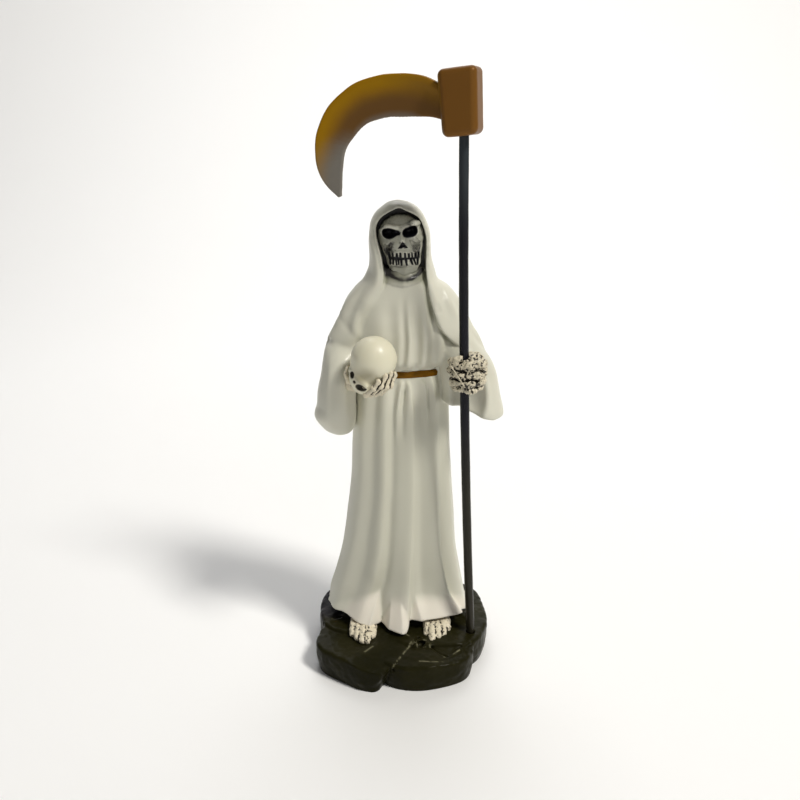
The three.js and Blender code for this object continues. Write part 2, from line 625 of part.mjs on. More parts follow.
function blade() {
  const curve = new THREE.SplineCurve(BLADE_OUTER.map(([x, z]) => new THREE.Vector2(
    x * BLADE_REACH,
    z * BLADE_REACH,
  )));
  const steps = 15;
  const rings = Array.from({ length: steps + 1 }, (_, i) => bladeRing(i / steps, curve));
  return toSolid(loft(rings), headMatrix);
}

function block() {
  const w = BLOCK_WIDTH / 2 - BLOCK_ROUND;
  const h = BLOCK_HEIGHT / 2 - BLOCK_ROUND;
  const face = new THREE.Shape();
  face.absarc(w, h, BLOCK_ROUND * 0.4, 0, Math.PI / 2);
  face.absarc(-w, h, BLOCK_ROUND * 0.4, Math.PI / 2, Math.PI);
  face.absarc(-w, -h, BLOCK_ROUND * 0.4, Math.PI, Math.PI * 1.5);
  face.absarc(w, -h, BLOCK_ROUND * 0.4, Math.PI * 1.5, TURN);
  const depth = BLOCK_DEPTH - 2 * BLOCK_ROUND * 0.6;
  const bevel = BLOCK_ROUND * 0.6;
  const geometry = new THREE.ExtrudeGeometry(face, {
    depth,
    curveSegments: 2,
    bevelEnabled: true,
    bevelThickness: bevel,
    bevelSize: bevel,
    bevelSegments: 2,
  });
  geometry.translate(0, 0, -depth / 2);
  geometry.rotateX(Math.PI / 2);
  return toSolid(geometry, headMatrix);
}

function figure() {
  const cloth = [robe(), belt(), sleeves(), mantle()];
  const feet = [foot(LEFT_TOES, LEFT_ANKLE), foot(RIGHT_TOES, RIGHT_ANKLE)];
  const cast = join([rockBase(), core(), ...cloth, skullFace(), skullHand(), fist(), ...feet]);
  return cast.subtract(staffBore(-STAFF_CLEARANCE, STAFF_LENGTH));
}

function scytheHead() {
  return join([block(), blade()]).subtract(staffBore(STAFF_LENGTH / 2, STAFF_LENGTH + STAFF_CLEARANCE));
}

function node(name, solid, look) {
  const mesh = new THREE.Mesh(toGeometry(solid), new THREE.MeshStandardMaterial(look));
  mesh.name = name;
  return mesh;
}

const statue = new THREE.Group();
statue.add(
  node('figure', figure(), { color: 0xe4e1d3, roughness: 0.38, metalness: 0 }),
  node('scythe_staff', staff(), { color: 0x17161a, roughness: 0.25, metalness: 0 }),
  node('scythe_head', scytheHead(), { color: 0x8a5a26, roughness: 0.4, metalness: 0.3 }),
);

export default statue;
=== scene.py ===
"""A hooded skeleton figure with a scythe, carved finely over its CAD frame and painted."""

import logging  # noqa: E402
import math  # noqa: E402
from abc import ABC, abstractmethod  # noqa: E402
from dataclasses import dataclass  # noqa: E402
from enum import Enum  # noqa: E402
from typing import Sequence  # noqa: E402

import bpy  # noqa: E402
import numpy as np  # noqa: E402
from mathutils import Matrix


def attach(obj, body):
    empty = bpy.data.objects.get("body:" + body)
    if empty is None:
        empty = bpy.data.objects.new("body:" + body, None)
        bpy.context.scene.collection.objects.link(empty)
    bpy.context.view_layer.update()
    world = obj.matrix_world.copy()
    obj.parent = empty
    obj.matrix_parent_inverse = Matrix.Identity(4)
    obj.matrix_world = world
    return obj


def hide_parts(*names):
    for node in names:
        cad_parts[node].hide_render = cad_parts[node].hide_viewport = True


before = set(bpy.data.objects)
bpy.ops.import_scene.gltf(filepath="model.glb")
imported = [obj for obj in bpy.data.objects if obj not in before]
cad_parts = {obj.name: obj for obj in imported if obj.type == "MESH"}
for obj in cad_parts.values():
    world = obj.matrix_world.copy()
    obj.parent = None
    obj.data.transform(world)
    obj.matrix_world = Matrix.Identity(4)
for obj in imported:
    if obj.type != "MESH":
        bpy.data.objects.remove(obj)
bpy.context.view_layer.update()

import openvdb as vdb  # noqa: E402
from mathutils import Vector  # noqa: E402

log = logging.getLogger("figure")
Array = np.ndarray
Point = tuple[float, float, float]
Rows = Sequence[Sequence[float]]
Socket = bpy.types.NodeSocket
MM = 0.001
BODY = "root"
UPRIGHT = (0.0, 0.0, 0.0)


def linked(name: str, data: bpy.types.ID) -> bpy.types.Object:
    """New object of the scene that shows a mesh, a light or a camera.

    Args:
        name: its name.
        data: what it shows.

    Returns:
        The object.
    """
    made = bpy.data.objects.new(name, data)
    bpy.context.scene.collection.objects.link(made)
    return made


# Plain functions of distance, in millimetres


def bell(x: Array) -> Array:
    """Bump of height one whose width is one."""
    return np.exp(-0.5 * x * x)


def ramp(x: Array, start: float, end: float) -> Array:
    """Smooth step from zero at start to one at end."""
    t = np.clip((x - start) / (end - start), 0.0, 1.0)
    return t * t * (3.0 - 2.0 * t)


def unite(a: Array, b: Array, blend: float | Array) -> Array:
    """Joins two solids with a fillet of about the blend's size."""
    h = np.clip(0.5 + 0.5 * (b - a) / blend, 0.0, 1.0)
    return b + (a - b) * h - blend * h * (1.0 - h)


def meet(a: Array, b: Array, blend: float | Array) -> Array:
    """Keeps what two solids share, with a rounded edge."""
    return -unite(-a, -b, blend)


def carve(a: Array, b: Array, blend: float | Array) -> Array:
    """Cuts the second solid out of the first."""
    return -unite(-a, b, blend)


def turned(p: Array, centre: Sequence[float], turn: Sequence[float]) -> list[Array]:
    """Coordinates in a frame at a centre, turned about X, then Y, then Z in degrees.

    Args:
        p: points.
        centre: origin of the frame.
        turn: degrees about X, Y and Z.

    Returns:
        Coordinates along the frame's own axes.
    """
    q = [p[i] - centre[i] for i in range(3)]
    for axis in (2, 1, 0):
        angle = -math.radians(turn[axis])
        if angle == 0.0:
            continue
        c, s = math.cos(angle), math.sin(angle)
        u, v = (axis + 1) % 3, (axis + 2) % 3
        q[u], q[v] = q[u] * c - q[v] * s, q[u] * s + q[v] * c
    return q


def ellipsoid(
    p: Array, centre: Sequence[float], radii: Sequence[float], turn: Sequence[float] = UPRIGHT
) -> Array:
    """Nearly true distance to an ellipsoid.

    Args:
        p: points.
        centre: middle of it.
        radii: half widths along X, Y and Z.
        turn: degrees about X, Y and Z.

    Returns:
        Signed distances.
    """
    q = turned(p, centre, turn)
    near = np.sqrt(sum((q[i] / radii[i]) ** 2 for i in range(3)))
    slope = np.sqrt(sum((q[i] / radii[i] ** 2) ** 2 for i in range(3)))
    return near * (near - 1.0) / np.maximum(slope, 1e-4)


def tube(p: Array, points: Rows, radii: Sequence[float]) -> Array:
    """Distance to a round-ended tube through points, with a radius at each.

    Args:
        p: points.
        points: points of the middle line.
        radii: thickness at each point.

    Returns:
        Signed distances.
    """
    best = None
    for a, b, ra, rb in zip(points, points[1:], radii, radii[1:]):
        step = [b[i] - a[i] for i in range(3)]
        length = sum(k * k for k in step)
        q = [p[i] - a[i] for i in range(3)]
        t = np.clip(sum(q[i] * step[i] for i in range(3)) / length, 0.0, 1.0)
        d = np.sqrt(sum((q[i] - step[i] * t) ** 2 for i in range(3))) - (ra + (rb - ra) * t)
        best = d if best is None else np.minimum(best, d)
    return best


def box(
    p: Array,
    centre: Sequence[float],
    size: Sequence[float],
    turn: Sequence[float] = UPRIGHT,
    rounding: float = 0.3,
) -> Array:
    """Distance to a block with rounded edges.

    Args:
        p: points.
        centre: middle of it.
        size: widths along X, Y and Z.
        turn: degrees about X, Y and Z.
        rounding: radius of the edges.

    Returns:
        Signed distances.
    """
    q = turned(p, centre, turn)
    out = [np.abs(q[i]) - (size[i] / 2 - rounding) for i in range(3)]
    outside = np.sqrt(sum(np.maximum(k, 0.0) ** 2 for k in out))
    return outside + np.minimum(np.maximum(np.maximum(out[0], out[1]), out[2]), 0.0) - rounding


def behind(angle: Array) -> Array:
    """Share of the cloth's back in its folds, by angle in degrees from the front."""
    return ramp(np.abs(angle), 78, 100)


class Noise:
    """Smooth value noise in space, the same on each run."""

    SIDE = 64

    def __init__(self, seed: int) -> None:
        """Fills the cells from a seed."""
        cells = np.random.default_rng(seed).random((self.SIDE,) * 3, dtype=np.float32)
        self.cells = cells * 2.0 - 1.0

    def __call__(self, p: Array, size: float) -> Array:
        """Smooth random value at each point.

        Args:
            p: points.
            size: width of a lump in millimetres.

        Returns:
            Values from -1 to 1.
        """
        q = p / size + 200.0
        base = np.floor(q)
        f = q - base
        f = f * f * (3.0 - 2.0 * f)
        i = base.astype(np.int32) & (self.SIDE - 1)
        j = (i + 1) & (self.SIDE - 1)
        total = 0.0
        for a, u in ((i[0], 1 - f[0]), (j[0], f[0])):
            for b, v in ((i[1], 1 - f[1]), (j[1], f[1])):
                for c, w in ((i[2], 1 - f[2]), (j[2], f[2])):
                    total = total + self.cells[a, b, c] * u * v * w
        return total


noise = Noise(11)


def smooth_rows(rows: Rows, at: Array) -> Array:
    """Values of a table's columns at keys of its first column, along a smooth line.

    Args:
        rows: table whose first column rises.
        at: keys to read it at.

    Returns:
        One row of values for each key.
    """
    table = np.array(rows, dtype=np.float64)
    keys = table[:, 0]
    before = np.maximum(np.arange(len(keys)) - 1, 0)
    after = np.minimum(np.arange(len(keys)) + 1, len(keys) - 1)
    slopes = (table[after, 1:] - table[before, 1:]) / (keys[after] - keys[before])[:, None]
    i = np.clip(np.searchsorted(keys, at) - 1, 0, len(keys) - 2)
    span = (keys[i + 1] - keys[i])[:, None]
    t = (at - keys[i])[:, None] / span
    near = (1 + 2 * t) * (1 - t) ** 2 * table[i, 1:] + t * (1 - t) ** 2 * span * slopes[i]
    return near + t * t * (3 - 2 * t) * table[i + 1, 1:] + t * t * (t - 1) * span * slopes[i + 1]


def along(path: Rows, key: Array) -> Array:
    """Value at a key between points of a path."""
    keys, values = zip(*path)
    return np.interp(key, keys, values).astype(np.float32)


class Sections:
    """Upright body from rows of sizes by height.

    A row holds height, middle x, middle y, half width, depth to front, depth to back and
    squareness, where a squareness of 2 is an ellipse.
    """

    STEPS = 800

    def __init__(self, rows: Rows) -> None:
        """Reads the rows at evenly spaced heights."""
        self.heights = np.linspace(rows[0][0], rows[-1][0], self.STEPS)
        self.values = smooth_rows(rows, self.heights)

    def at(self, z: Array) -> list[Array]:
        """Middle x, middle y, half width, front depth, back depth and squareness at heights."""
        return [np.interp(z, self.heights, column).astype(np.float32) for column in self.values.T]

    def skin(self, p: Array) -> tuple[Array, Array, Array]:
        """Distance and direction from the skin.

        Args:
            p: points.

        Returns:
            Distance to the skin, angle in degrees from the front, and sideways offset.
        """
        x, y, w, front, back, square = self.at(p[2])
        side = p[0] - x
        ahead = p[1] - y
        depth = np.where(ahead < 0, front, back)
        u = np.maximum(np.abs(side) / w, 1e-5)
        v = np.maximum(np.abs(ahead) / depth, 1e-5)
        un, vn = u**square, v**square
        q = (un + vn) ** (1.0 / square)
        slope = np.hypot(un / (u * w), vn / (v * depth)) * q ** (1.0 - square)
        angle = np.degrees(np.arctan2(np.sign(side) * np.sqrt(un), -np.sign(ahead) * np.sqrt(vn)))
        return (q - 1.0) / np.maximum(slope, 1e-4), angle, side


class Outline:
    """Signed distance in a plane to a closed smooth line through points, negative inside it."""

    STEP = 0.3
    MARGIN = 14.0

    def __init__(self, points: Rows, smooth: bool = True) -> None:
        """Samples the distance to the line on a grid.

        Args:
            points: points of the closed line.
            smooth: whether to round it between them.
        """
        line = np.array(points, dtype=np.float64)
        if smooth:
            line = self.spline(line)
        self.low = line.min(axis=0) - self.MARGIN
        counts = np.ceil((line.max(axis=0) + self.MARGIN - self.low) / self.STEP).astype(int) + 1
        u = self.low[0] + self.STEP * np.arange(counts[0])[:, None]
        v = self.low[1] + self.STEP * np.arange(counts[1])[None, :]
        near = np.full(counts, 1e9)
        inside = np.zeros(counts, dtype=bool)
        for a, b in zip(line, np.roll(line, -1, axis=0)):
            step = b - a
            length = max(float(step @ step), 1e-9)
            t = np.clip(((u - a[0]) * step[0] + (v - a[1]) * step[1]) / length, 0.0, 1.0)
            near = np.minimum(near, (u - a[0] - step[0] * t) ** 2 + (v - a[1] - step[1] * t) ** 2)
            if a[1] != b[1]:
                crosses = (v < a[1]) != (v < b[1])
                inside ^= crosses & (u < a[0] + step[0] * (v - a[1]) / step[1])
        self.grid = (np.sqrt(near) * np.where(inside, -1.0, 1.0)).astype(np.float32)

    @staticmethod
    def spline(points: Array, parts: int = 5) -> Array:
        """Closed smooth line through points.

        Args:
            points: points that it passes through.
            parts: steps between two of them.

        Returns:
            Points of the smooth line.
        """
        t = (np.arange(parts) / parts)[:, None]
        line = []
        for k in range(len(points)):
            a, b, c, d = (points[(k + n) % len(points)] for n in (-1, 0, 1, 2))
            square = (2 * a - 5 * b + 4 * c - d) * t**2
            cube = (3 * b - a - 3 * c + d) * t**3
            line.append(0.5 * (2 * b + (c - a) * t + square + cube))
        return np.concatenate(line)

    def at(self, u: Array, v: Array) -> Array:
        """Distance at points of the plane.

        Args:
            u: first coordinate.
            v: second coordinate.

        Returns:
            Signed distances.
        """
        a = np.clip((u - self.low[0]) / self.STEP, 0, self.grid.shape[0] - 1.001)
        b = np.clip((v - self.low[1]) / self.STEP, 0, self.grid.shape[1] - 1.001)
        i, j = a.astype(np.int32), b.astype(np.int32)
        f, g = a - i, b - j
        near = self.grid[i, j] * (1 - f) * (1 - g) + self.grid[i + 1, j] * f * (1 - g)
        return near + self.grid[i, j + 1] * (1 - f) * g + self.grid[i + 1, j + 1] * f * g


# Carved forms


class Piece:
    """Anything that is dressed in a paint."""

    def dress(self, made: bpy.types.Object, paint: bpy.types.Material) -> None:
        """Gives the piece its paint."""
        made.data.materials.append(paint)


@dataclass
class Form(Piece, ABC):
    """A carved solid that becomes one painted piece.

    Attributes:
        name: name of the piece.
        low: lowest corner of the space it is carved in, in millimetres.
        high: highest corner of that space.
        voxel: fineness of the carving.
    """

    name: str
    low: Point
    high: Point
    voxel: float

    @abstractmethod
    def distance(self, p: Array) -> Array:
        """Distance to the carved surface.

        Args:
            p: points.

        Returns:
            Signed distances.
        """

    def masks(self, p: Array) -> dict[str, Array]:
        """Paint masks at the skin's points."""
        return {}

    def build(self, sculptor: "Sculptor") -> bpy.types.Object:
        """Carves the piece's mesh."""
        return sculptor.sculpt(self)


@dataclass
class Staff(Piece):
    """Round bowed staff with softened ends, in millimetres.

    Attributes:
        name: name of the piece.
        diameter: thickness.
        length: length along its middle line.
        bow: how far its middle bends to the viewer's left.
        clearance: gap to the bores that it passes through.
        foot: lower end of its middle line.
        grip: where the fist holds it.
        rings: rounds of faces along it.
        sides: faces round it.
        softening: how much thinner its very ends are.
        softened: length of a softened end.
    """

    name: str = "staff_rod"
    diameter: float = 4.5
    length: float = 270.0
    bow: float = 1.5
    clearance: float = 0.2
    foot: Point = (36.9, -14.0, 14.0)
    grip: Point = (31.3, -22.7, 163.0)
    rings: int = 90
    sides: int = 32
    softening: float = 0.35
    softened: float = 0.5

    def __post_init__(self) -> None:
        """Finds the direction from the foot to the grip."""
        run = np.array(self.grip) - np.array(self.foot)
        self.run = run / np.linalg.norm(run)

    def point(self, distance: float) -> Array:
        """Point at a distance from the foot.

        Args:
            distance: millimetres from the foot.

        Returns:
            The point, in millimetres.
        """
        t = distance / self.length
        bow = np.array([-4.0 * self.bow * t * (1.0 - t), 0.0, 0.0])
        return np.array(self.foot) + self.run * distance + bow

    def bore(self, p: Array, start: float, end: float) -> Array:
        """Distance to the bore that the staff passes through.

        Args:
            p: points.
            start: where the bore starts, from the foot.
            end: where it ends.

        Returns:
            Signed distances.
        """
        points = [self.point(start + (end - start) * k / 6) for k in range(7)]
        radius = self.diameter / 2 + self.clearance
        return tube(p, points, [radius] * len(points))

    def radius(self, at: float) -> float:
        """Half thickness at a distance from the foot, with slight waves.

        Args:
            at: distance from the foot.

        Returns:
            The radius in millimetres.
        """
        end = min(at, self.length - at)
        radius = self.diameter / 2 - self.softening * max(0.0, 1.0 - end / self.softened)
        return radius + (0.025 * math.sin(at * 0.21) + 0.02 * math.sin(at * 0.57 + 1.0))

    def build(self) -> bpy.types.Object:
        """Makes the staff's object.

        Returns:
            The object, in metres.
        """
        sides = self.sides
        points, faces = [], []
        for i in range(self.rings + 1):
            at = self.length * i / self.rings
            radius = self.radius(at)
            x, y, z = self.point(at)
            for k in range(sides):
                a = math.tau * k / sides
                points.append((x + radius * math.cos(a), y + radius * math.sin(a), z))
        for i in range(self.rings):
            for k in range(sides):
                n = (k + 1) % sides
                faces.append((i * sides + k, i * sides + n, (i + 1) * sides + n, (i + 1) * sides + k))
        faces.append(tuple(range(sides - 1, -1, -1)))
        faces.append(tuple(self.rings * sides + k for k in range(sides)))
        mesh = bpy.data.meshes.new(self.name)
        mesh.from_pydata([tuple(c * MM for c in p) for p in points], [], faces)
        for polygon in mesh.polygons:
            polygon.use_smooth = len(polygon.vertices) == 4
        rise = mesh.attributes.new("rise", "FLOAT", "POINT")
        shares = np.repeat(np.linspace(0.0, 1.0, self.rings + 1), sides)
        rise.data.foreach_set("value", shares.astype(np.float32))
        return linked(self.name, mesh)


STAFF = Staff()

# Sections of the hood and cape
MANTLE = (
    (164, 0.9, 1, 41.6, 17.2, 20.8, 2.3),
    (170, 0.9, 1, 39.6, 16.8, 20.4, 2.3),
    (176, 0.8, 1.2, 37, 16.3, 19.8, 2.3),
    (182, 0.5, 1.5, 33.6, 15.7, 19, 2.3),
    (188, 0.3, 2, 31, 15, 18, 2.3),
    (194, 0, 2, 27.9, 14.4, 17, 2.3),
    (200, 0, 2.5, 23.2, 14.2, 16, 2.3),
    (204, -0.5, 2.5, 18.8, 14.2, 15.5, 2.3),
    (209, -0.5, 3, 16.6, 14.7, 15.5, 2.3),
    (215, -1, 3, 15.2, 15.2, 15.6, 2.3),
    (221, -1.2, 3, 14.9, 15.5, 16, 2.3),
    (227, -1.2, 3, 14.4, 15.5, 16, 2.3),
    (232, -1.7, 3, 13.2, 14.9, 15, 2.3),
    (236, -1.7, 2.5, 11, 13.4, 12.8, 2.3),
    (239, -1.5, 1.8, 8, 11, 9.6, 2.2),
    (241, -1.9, 0.8, 4.8, 7.4, 6, 2.1),
    (242, -2.2, 0, 1.2, 2, 2, 2),
)
# How much shallower the robe is than the cape over it, its share of the cape's width, and the
# heights between which it follows the cape
CAPE_RELIEF = 2.0
BLOUSE_SHARE = 0.8
SHOULDER = (174, 201)
# Sections of the robe from the hem to the neck
ROBE = (
    (16, -2.5, 8, 37.4, 18.5, 23.5, 2),
    (25, -2.5, 8, 37.2, 18.6, 23, 2),
    (34, -2.7, 7.6, 36, 18.4, 22.2, 2),
    (45, -2.1, 7, 33.3, 18, 21, 2),
    (60, -1.5, 6, 30.2, 17.2, 19.4, 2),
    (80, -0.7, 5, 28.1, 16.4, 17.8, 2),
    (100, -0.3, 4, 26.2, 15.8, 16.6, 2),
    (120, -0.5, 3.4, 25.1, 15.2, 15.6, 2),
    (140, -0.3, 3.1, 24, 14.8, 15, 2),
    (152, 0, 3, 22.6, 14.2, 14.6, 2),
    (157, 0, 3, 20.8, 13.4, 14, 2),
    (161, 0, 3, 20.8, 13.4, 14, 2),
    (163.5, 0, 3, 23, 15, 15.2, 2.1),
    (168, 0.4, 2, 26.4, 15.4, 16.8, 2.2),
    *(
        (z, x, y, w * BLOUSE_SHARE, front - CAPE_RELIEF, back - CAPE_RELIEF, square)
        for z, x, y, w, front, back, square in MANTLE
        if SHOULDER[0] < z < SHOULDER[1]
    ),
    (205, -0.3, 2.5, 13.5, 11.8, 12, 2.1),
    (210, -0.5, 2.5, 9.5, 10.8, 10, 2),
)
robe_sections = Sections(ROBE)
# Middle height of the belt, half its height, and how many folds would go all round the robe
WAIST = 158.0
BELT_HALF = 1.65
BACK_FOLDS = 13


@dataclass(frozen=True)
class Fold:
    """Fold that runs down the skirt.

    Attributes:
        path: height and angle from the front, from the hem upwards.
        rise: height and rise in millimetres.
        left: spread in degrees towards the viewer's left.
        right: spread towards the right.
    """

    path: tuple[tuple[float, float], ...]
    rise: tuple[tuple[float, float], ...]
    left: float
    right: float

    def height(self, angle: Array, z: Array) -> Array:
        """How far the fold raises the cloth."""
        away = angle - along(self.path, z)
        return along(self.rise, z) * bell(away / np.where(away < 0, self.left, self.right))


FOLDS = (
    Fold(((22, -55), (92, -50), (160, -51)), ((22, 1.2), (92, 0.9), (160, 0.7)), 9, 8),
    Fold(((22, -42), (92, -34), (160, -34)), ((22, -0.6), (92, -0.6), (160, -0.8)), 6, 6),
    Fold(
        ((22, -27), (32, -25), (45, -20.5), (60, -18.3), (88, -18.5), (130, -19), (160, -19)),
        ((22, 0.2), (33, 1.2), (50, 2.1), (90, 1.5), (130, 1.3), (157, 0.7)),
        8,
        3.4,
    ),
    Fold(
        ((22, -18), (36, -17), (44, -14.3), (60, -12.8), (87, -13.2), (115, -11.2), (160, -9.5)),
        ((22, -1.4), (36, -2.6), (44, -2.6), (60, -1.9), (90, -1.3), (130, -1.3), (157, -0.8)),
        2.6,
        5,
    ),
    Fold(
        ((120, -6.5), (140, -5), (150, -2.5), (157, 1)),
        ((120, 0), (138, 1.0), (149, 1.3), (156, 0.4)),
        2.6,
        2,
    ),
    Fold(
        ((122, 1.8), (140, 2.2), (150, 3.4), (157, 3.4)),
        ((122, 0), (138, -1.3), (149, -1.6), (156, -0.8)),
        2.2,
        2.2,
    ),
    Fold(
        ((16, 4.6), (27, 7), (41, 8.6), (60, 10.2), (78, 11), (128, 12.5), (140, 12), (150, 10), (157, 6)),
        ((16, 5), (27, 4.4), (41, 2.7), (60, 1.5), (80, 0.8), (110, 0.7), (128, 1.2), (142, 1.7),
         (151, 1.5), (157, 0.4)),
        6,
        2.3,
    ),  # fmt: skip
    Fold(
        ((22, 20), (30, 23), (44, 24.5), (60, 24), (110, 23), (140, 22.5), (157, 18)),
        ((22, -0.5), (30, -1.2), (44, -1.8), (60, -1.3), (100, -0.7), (128, -0.8), (146, -1.2), (156, -0.4)),
        5,
        5,
    ),
    Fold(
        ((126, 30.5), (140, 30.5), (150, 29), (157, 26)),
        ((126, 0), (138, 1.2), (150, 1.5), (156, 0.6)),
        2.6,
        2.2,
    ),
    Fold(((126, 37), (157, 34)), ((126, 0), (140, -0.9), (156, -0.5)), 2.6, 2.6),
    Fold(((132, 44), (157, 41)), ((132, 0), (144, 0.9), (156, 0.6)), 2.4, 2.4),
    Fold(
        ((22, 50), (30, 47.6), (42, 43.5), (57, 41.5), (77, 39.8), (110, 42)),
        ((22, 1.5), (30, 2.2), (42, 2.4), (57, 1.8), (77, 1.2), (112, 0)),
        7,
        3,
    ),
    Fold(
        ((22, 58), (42, 52), (77, 50), (160, 58)),
        ((22, -1.2), (42, -1.7), (77, -0.8), (160, -0.5)),
        3.6,
        4.5,
    ),
    Fold(((22, 68), (92, 66), (160, 75)), ((22, 1.4), (92, 0.8), (160, 0.6)), 7, 7),
)


# Cloth that joins the right sleeve to the body: path and radii
INNER_SLEEVE = ((21.4, -4.0, 168), (24.2, -3.6, 157), (25.6, -3.2, 146)), (4.2, 4.4, 4.2)


@dataclass
class Skirt(Form):
    """Pleated skirt from the hem to the belt, with a recess under its hem.

    Attributes:
        hem_line: height of the hem by angle from the front.
        flare_line: height where the hem starts to flare, by angle.
        flare: how steeply it flares.
        flare_top: height over which nothing flares.
        wall: thickness of the cloth over the recess.
        recess: how far the recess reaches over the hem.
        core: middle and half widths of the solid inside the recess.
        core_heights: middle and half height that the core is cut to.
        sleeve_end: lower end of the cloth that joins the right sleeve.
        top: height of the skirt's upper end.
    """

    name: str = "robe_skirt"
    low: Point = (-44, -22, 7)
    high: Point = (42, 36, 163)
    voxel: float = 0.66
    hem_line: Rows = (
        (-180, 16.6), (-125, 19.0), (-92, 23.0), (-45, 23.4), (-33, 22.5), (-15.5, 19.5), (-5.5, 19.0),
        (3.4, 18.2), (5.0, 18.4), (8.0, 21.6), (20, 22.4), (37, 22.8), (49, 22.9), (73, 22.0), (100, 19.0),
        (180, 16.6),
    )  # fmt: skip
    flare_line: Rows = (
        (-180, 26), (-75, 25), (-48, 29), (-17, 38.5), (-13, 22), (-9, 26.5), (-5, 33), (3, 33), (9, 24),
        (16, 35), (45, 34), (65, 30), (90, 26), (180, 26),
    )  # fmt: skip
    flare: float = 0.46
    flare_top: float = 60.0
    wall: float = 2.3
    recess: float = 6.0
    core: tuple[Point, Point] = ((-2.5, 12.5, 20), (31, 15, 26))
    core_heights: tuple[float, float] = (17.0, 9.0)
    sleeve_end: float = 144.5
    top: float = WAIST + 2.5

    def relief(self, angle: Array, z: Array) -> Array:
        """How far folds raise the cloth.

        Args:
            angle: degrees from the front.
            z: heights.

        Returns:
            Rises in millimetres.
        """
        skirt = 1.0 - ramp(z, WAIST - 5.0, WAIST - 1.0)
        rear = behind(angle)
        height = sum(fold.height(angle, z) for fold in FOLDS)
        back = np.cos(np.radians(BACK_FOLDS * angle)) * (0.7 + 0.9 * (1.0 - ramp(z, 21, 120)))
        below = along(self.flare_line, angle) - z
        flare = self.flare * 0.5 * (below + np.sqrt(below * below + 2.0))
        return skirt * (height * (1 - rear) + rear * back) + np.where(z < self.flare_top, flare, 0.0)

    def distance(self, p: Array) -> Array:
        """Distance to the skirt and the cloth that joins the right sleeve.

        Args:
            p: points.

        Returns:
            Signed distances.
        """
        z = p[2]
        near, angle, _ = robe_sections.skin(p)
        skin = near - self.relief(angle, z) - 0.1 * noise(p, 9.0)
        hem = np.interp(angle, *zip(*self.hem_line)).astype(np.float32)
        solid = meet(meet(skin, hem - z, 0.9), z - self.top, 0.5)
        hollow = meet(skin + self.wall, z - hem - self.recess, 1.5)
        solid = carve(solid, hollow, 0.8)
        middle, half = self.core_heights
        core = np.maximum(ellipsoid(p, *self.core), np.abs(z - middle) - half)
        sleeve = meet(tube(p, *INNER_SLEEVE), self.sleeve_end - z, 1.5)
        sleeve = meet(sleeve, z - self.top, 0.5)
        return unite(unite(solid, core, 1.0), sleeve, 4.0)

    def masks(self, p: Array) -> dict[str, Array]:
        """Painted light on the flares of the hem and the front flap, and painted shade over the skirt's
        middle.

        Args:
            p: points.

        Returns:
            Each mask's values by its name.
        """
        _, angle, _ = robe_sections.skin(p)
        below = along(self.flare_line, angle) - p[2]
        # painted light: the hem's flares and the front flap are lightened where light falls on them
        hem = 0.9 * ramp(below, -2.0, 5.0) * ramp(angle, -50, -34) * (1.0 - ramp(angle, 62, 90))
        flap = 0.95 * (1.0 - ramp(p[2], 28.0, 40.0)) * bell((angle - 1.0) / 5.5)
        # painted shade: olive over the middle of the skirt
        painted_shade = 0.3 * ramp(p[2], 24, 50) * (1.0 - ramp(p[2], 130, 156)) * ramp(angle, -80, -20)
        return {"painted_hem_light": np.maximum(hem, flap), "painted_shade": painted_shade}


@dataclass
class Belt(Form):
    """Flat painted band round the waist.

    Attributes:
        end: how far to the right it shows before the sleeve hides it.
    """

    name: str = "belt"
    low: Point = (-24, -15, 153)
    high: Point = (24, 20, 163)
    voxel: float = 0.3
    end: float = 18.2

    def distance(self, p: Array) -> Array:
        """Distance to the band, with a groove below its upper edge.

        Args:
            p: points.

        Returns:
            Signed distances.
        """
        level = np.array([p[0], p[1], np.full_like(p[2], WAIST + 1.0)])
        near, angle, _ = robe_sections.skin(level)
        rise = 0.5 + 0.12 * np.sin(np.radians(angle * 7 + 20))
        top = WAIST + BELT_HALF + 0.35 * bell((angle - 22) / 12) - 0.25 * bell((angle - 8) / 5)
        band = np.maximum(p[2] - top, WAIST - BELT_HALF + 0.15 * np.sin(np.radians(angle * 6)) - p[2])
        groove = 0.3 * bell((p[2] - top + 0.75 + 0.25 * np.sin(np.radians(angle * 11))) / 0.25)
        skin = meet(near - rise + groove - 0.1 * noise(p, 2.0), band, 0.4)
        skin = meet(skin, np.where(p[1] < 4, p[0] - self.end, -9.0), 0.3)
        return carve(skin, near + 2.5, 0.2)


